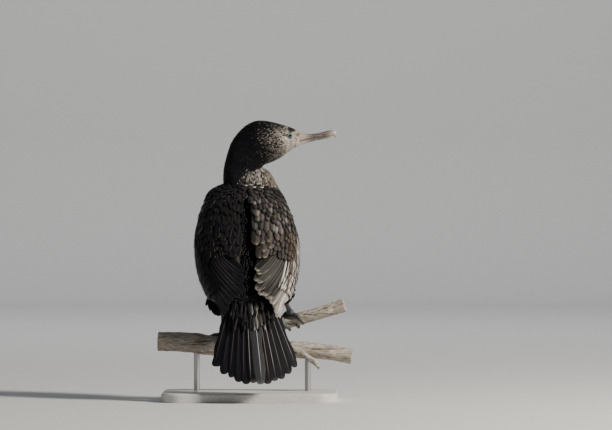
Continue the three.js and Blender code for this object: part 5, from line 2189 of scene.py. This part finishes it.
@dataclass
class Studio:
    """Floor, lights and camera, in metres."""

    aim: tuple[float, float] = (0.0756, 0.250)
    distance: float = 6.0
    frame_width: float = 0.826
    sensor: float = 36.0
    wall: float = 6.8
    wall_bend: float = 0.5
    wall_height: float = 7.0
    floor_front: float = -14.0
    floor_half: float = 16.0
    floor_drop: float = 0.0003
    sky: Colour = (0.80, 0.86, 0.95, 1)
    sky_strength: float = 0.13
    lamps: tuple[Lamp, ...] = (
        Lamp("Key", (2.5, -1.35, 1.75), 0.5, 190.0, (1.0, 0.94, 0.85)),
        Lamp("Fill", (-2.4, -2.2, 2.2), 2.0, 5.0, (0.75, 0.86, 1.0)),
        Lamp("Backdrop", (0.0, 3.0, 4.2), 3.5, 130.0, (0.97, 0.98, 1.0), (0.0, 6.8, 1.0)),
    )

    def build(self) -> None:
        """Lays a pale floor, hangs the lights and places the camera."""
        self.floor()
        for lamp in self.lamps:
            lamp.hang()
        world = bpy.data.worlds.new("Studio")
        world.use_nodes = True
        sky = world.node_tree.nodes["Background"]
        sky.inputs["Color"].default_value = self.sky
        sky.inputs["Strength"].default_value = self.sky_strength
        bpy.context.scene.world = world
        self.camera()

    def floor(self) -> None:
        """A pale floor just under the stand, flat, then a quarter turn up into a wall behind it."""
        turn = np.linspace(0, math.pi / 2, 24)
        bend = self.wall_bend
        y = np.concatenate([[self.floor_front], self.wall - bend + bend * np.sin(turn), [self.wall]])
        z = np.concatenate([[0.0], bend - bend * np.cos(turn), [self.wall_height]]) - self.floor_drop
        x, y = np.meshgrid(np.linspace(-self.floor_half, self.floor_half, 5), y)
        points = np.stack([x, y, np.broadcast_to(z[:, None], x.shape)], -1).reshape(-1, 3)
        mesh = bpy.data.meshes.new("floor")
        mesh.from_pydata(points.tolist(), [], grid_faces(len(z), 5)[:, ::-1].tolist())
        mesh.polygons.foreach_set("use_smooth", np.full(len(mesh.polygons), True))
        piece = bpy.data.objects.new("floor", mesh)
        bpy.context.scene.collection.objects.link(piece)
        mesh.materials.append(PlainFinish("Floor", colour=(0.70, 0.70, 0.69), grain=400.0, rough=0.85).make())

    def camera(self) -> None:
        """A long lens that looks level along +Y and takes in the frame's width at the bird."""
        data = bpy.data.cameras.new("Camera")
        data.sensor_width = self.sensor
        data.lens = self.sensor * self.distance / self.frame_width
        data.clip_end = 100
        camera = bpy.data.objects.new("Camera", data)
        camera.location = (self.aim[0], -self.distance, self.aim[1])
        camera.rotation_euler = (math.pi / 2, 0, 0)
        bpy.context.scene.collection.objects.link(camera)
        bpy.context.scene.camera = camera


def feet(finish: Palette) -> list[Foot]:
    """Both feet, as the solids place them.

    Args:
        finish: the model's finishes.

    Returns:
        The left and the right foot.
    """
    return [
        Foot(
            finish, "left", Bough(LIMB), 0.368, (-36, -20, 122), (-36, 9, 89.5),
            (
                ((0, 4), (0.03, 40), (0.042, 78)),
                ((0.01, -6), (0.04, -45), (0.045, -95), (0.04, -128)),
                ((-0.003, -10), (0.005, -50), (0.008, -100), (0.005, -150)),
                ((-0.01, -4), (-0.035, -12), (-0.06, -26), (-0.083, -48)),
            ),
            (0, 1, 2), 0.76,
        ),
        Foot(
            finish, "right", Bough(FORK), 0.595, (46, -28, 138), (54, 10, 119),
            (
                ((-0.01, 6), (-0.05, 45), (-0.056, 95), (-0.03, 138)),
                ((-0.008, -7), (-0.024, -52), (-0.029, -110), (-0.026, -170), (-0.02, -204)),
                ((0.006, -10), (0.03, -55), (0.045, -115), (0.05, -175), (0.045, -212)),
                ((0.01, 6), (0.052, 48), (0.08, 92), (0.092, 128)),
            ),
            (1, 2), 0.62,
        ),
    ]


def dress_stand(finish: Palette) -> None:
    """Gives the stand's own nodes their finishes.

    Args:
        finish: the model's finishes.
    """
    rods = (("stand_rod_left", finish.steel), ("stand_rod_right", finish.steel))
    for name, material in (("stand_base", finish.base), *rods):
        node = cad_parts[name]
        node.data.materials.clear()
        node.data.materials.append(material)
        LOG.info("%s dressed", name)


def main() -> None:
    """Builds every sub-assembly in order."""
    logging.basicConfig(level=logging.INFO, format="%(name)s: %(message)s")
    finish = Palette()
    Trunk(finish).build()
    Wing(finish, 1, "wing_right", 29).build()
    Wing(finish, -1, "wing_left", 11).build()
    Tail(finish).build()
    Bill(finish).build()
    Eye(finish, 1, "eye_right").build()
    Eye(finish, -1, "eye_left").build()
    for foot in feet(finish):
        foot.build()
    Perch(finish).build()
    dress_stand(finish)
    Studio().build()


if __name__ == "__main__":
    main()
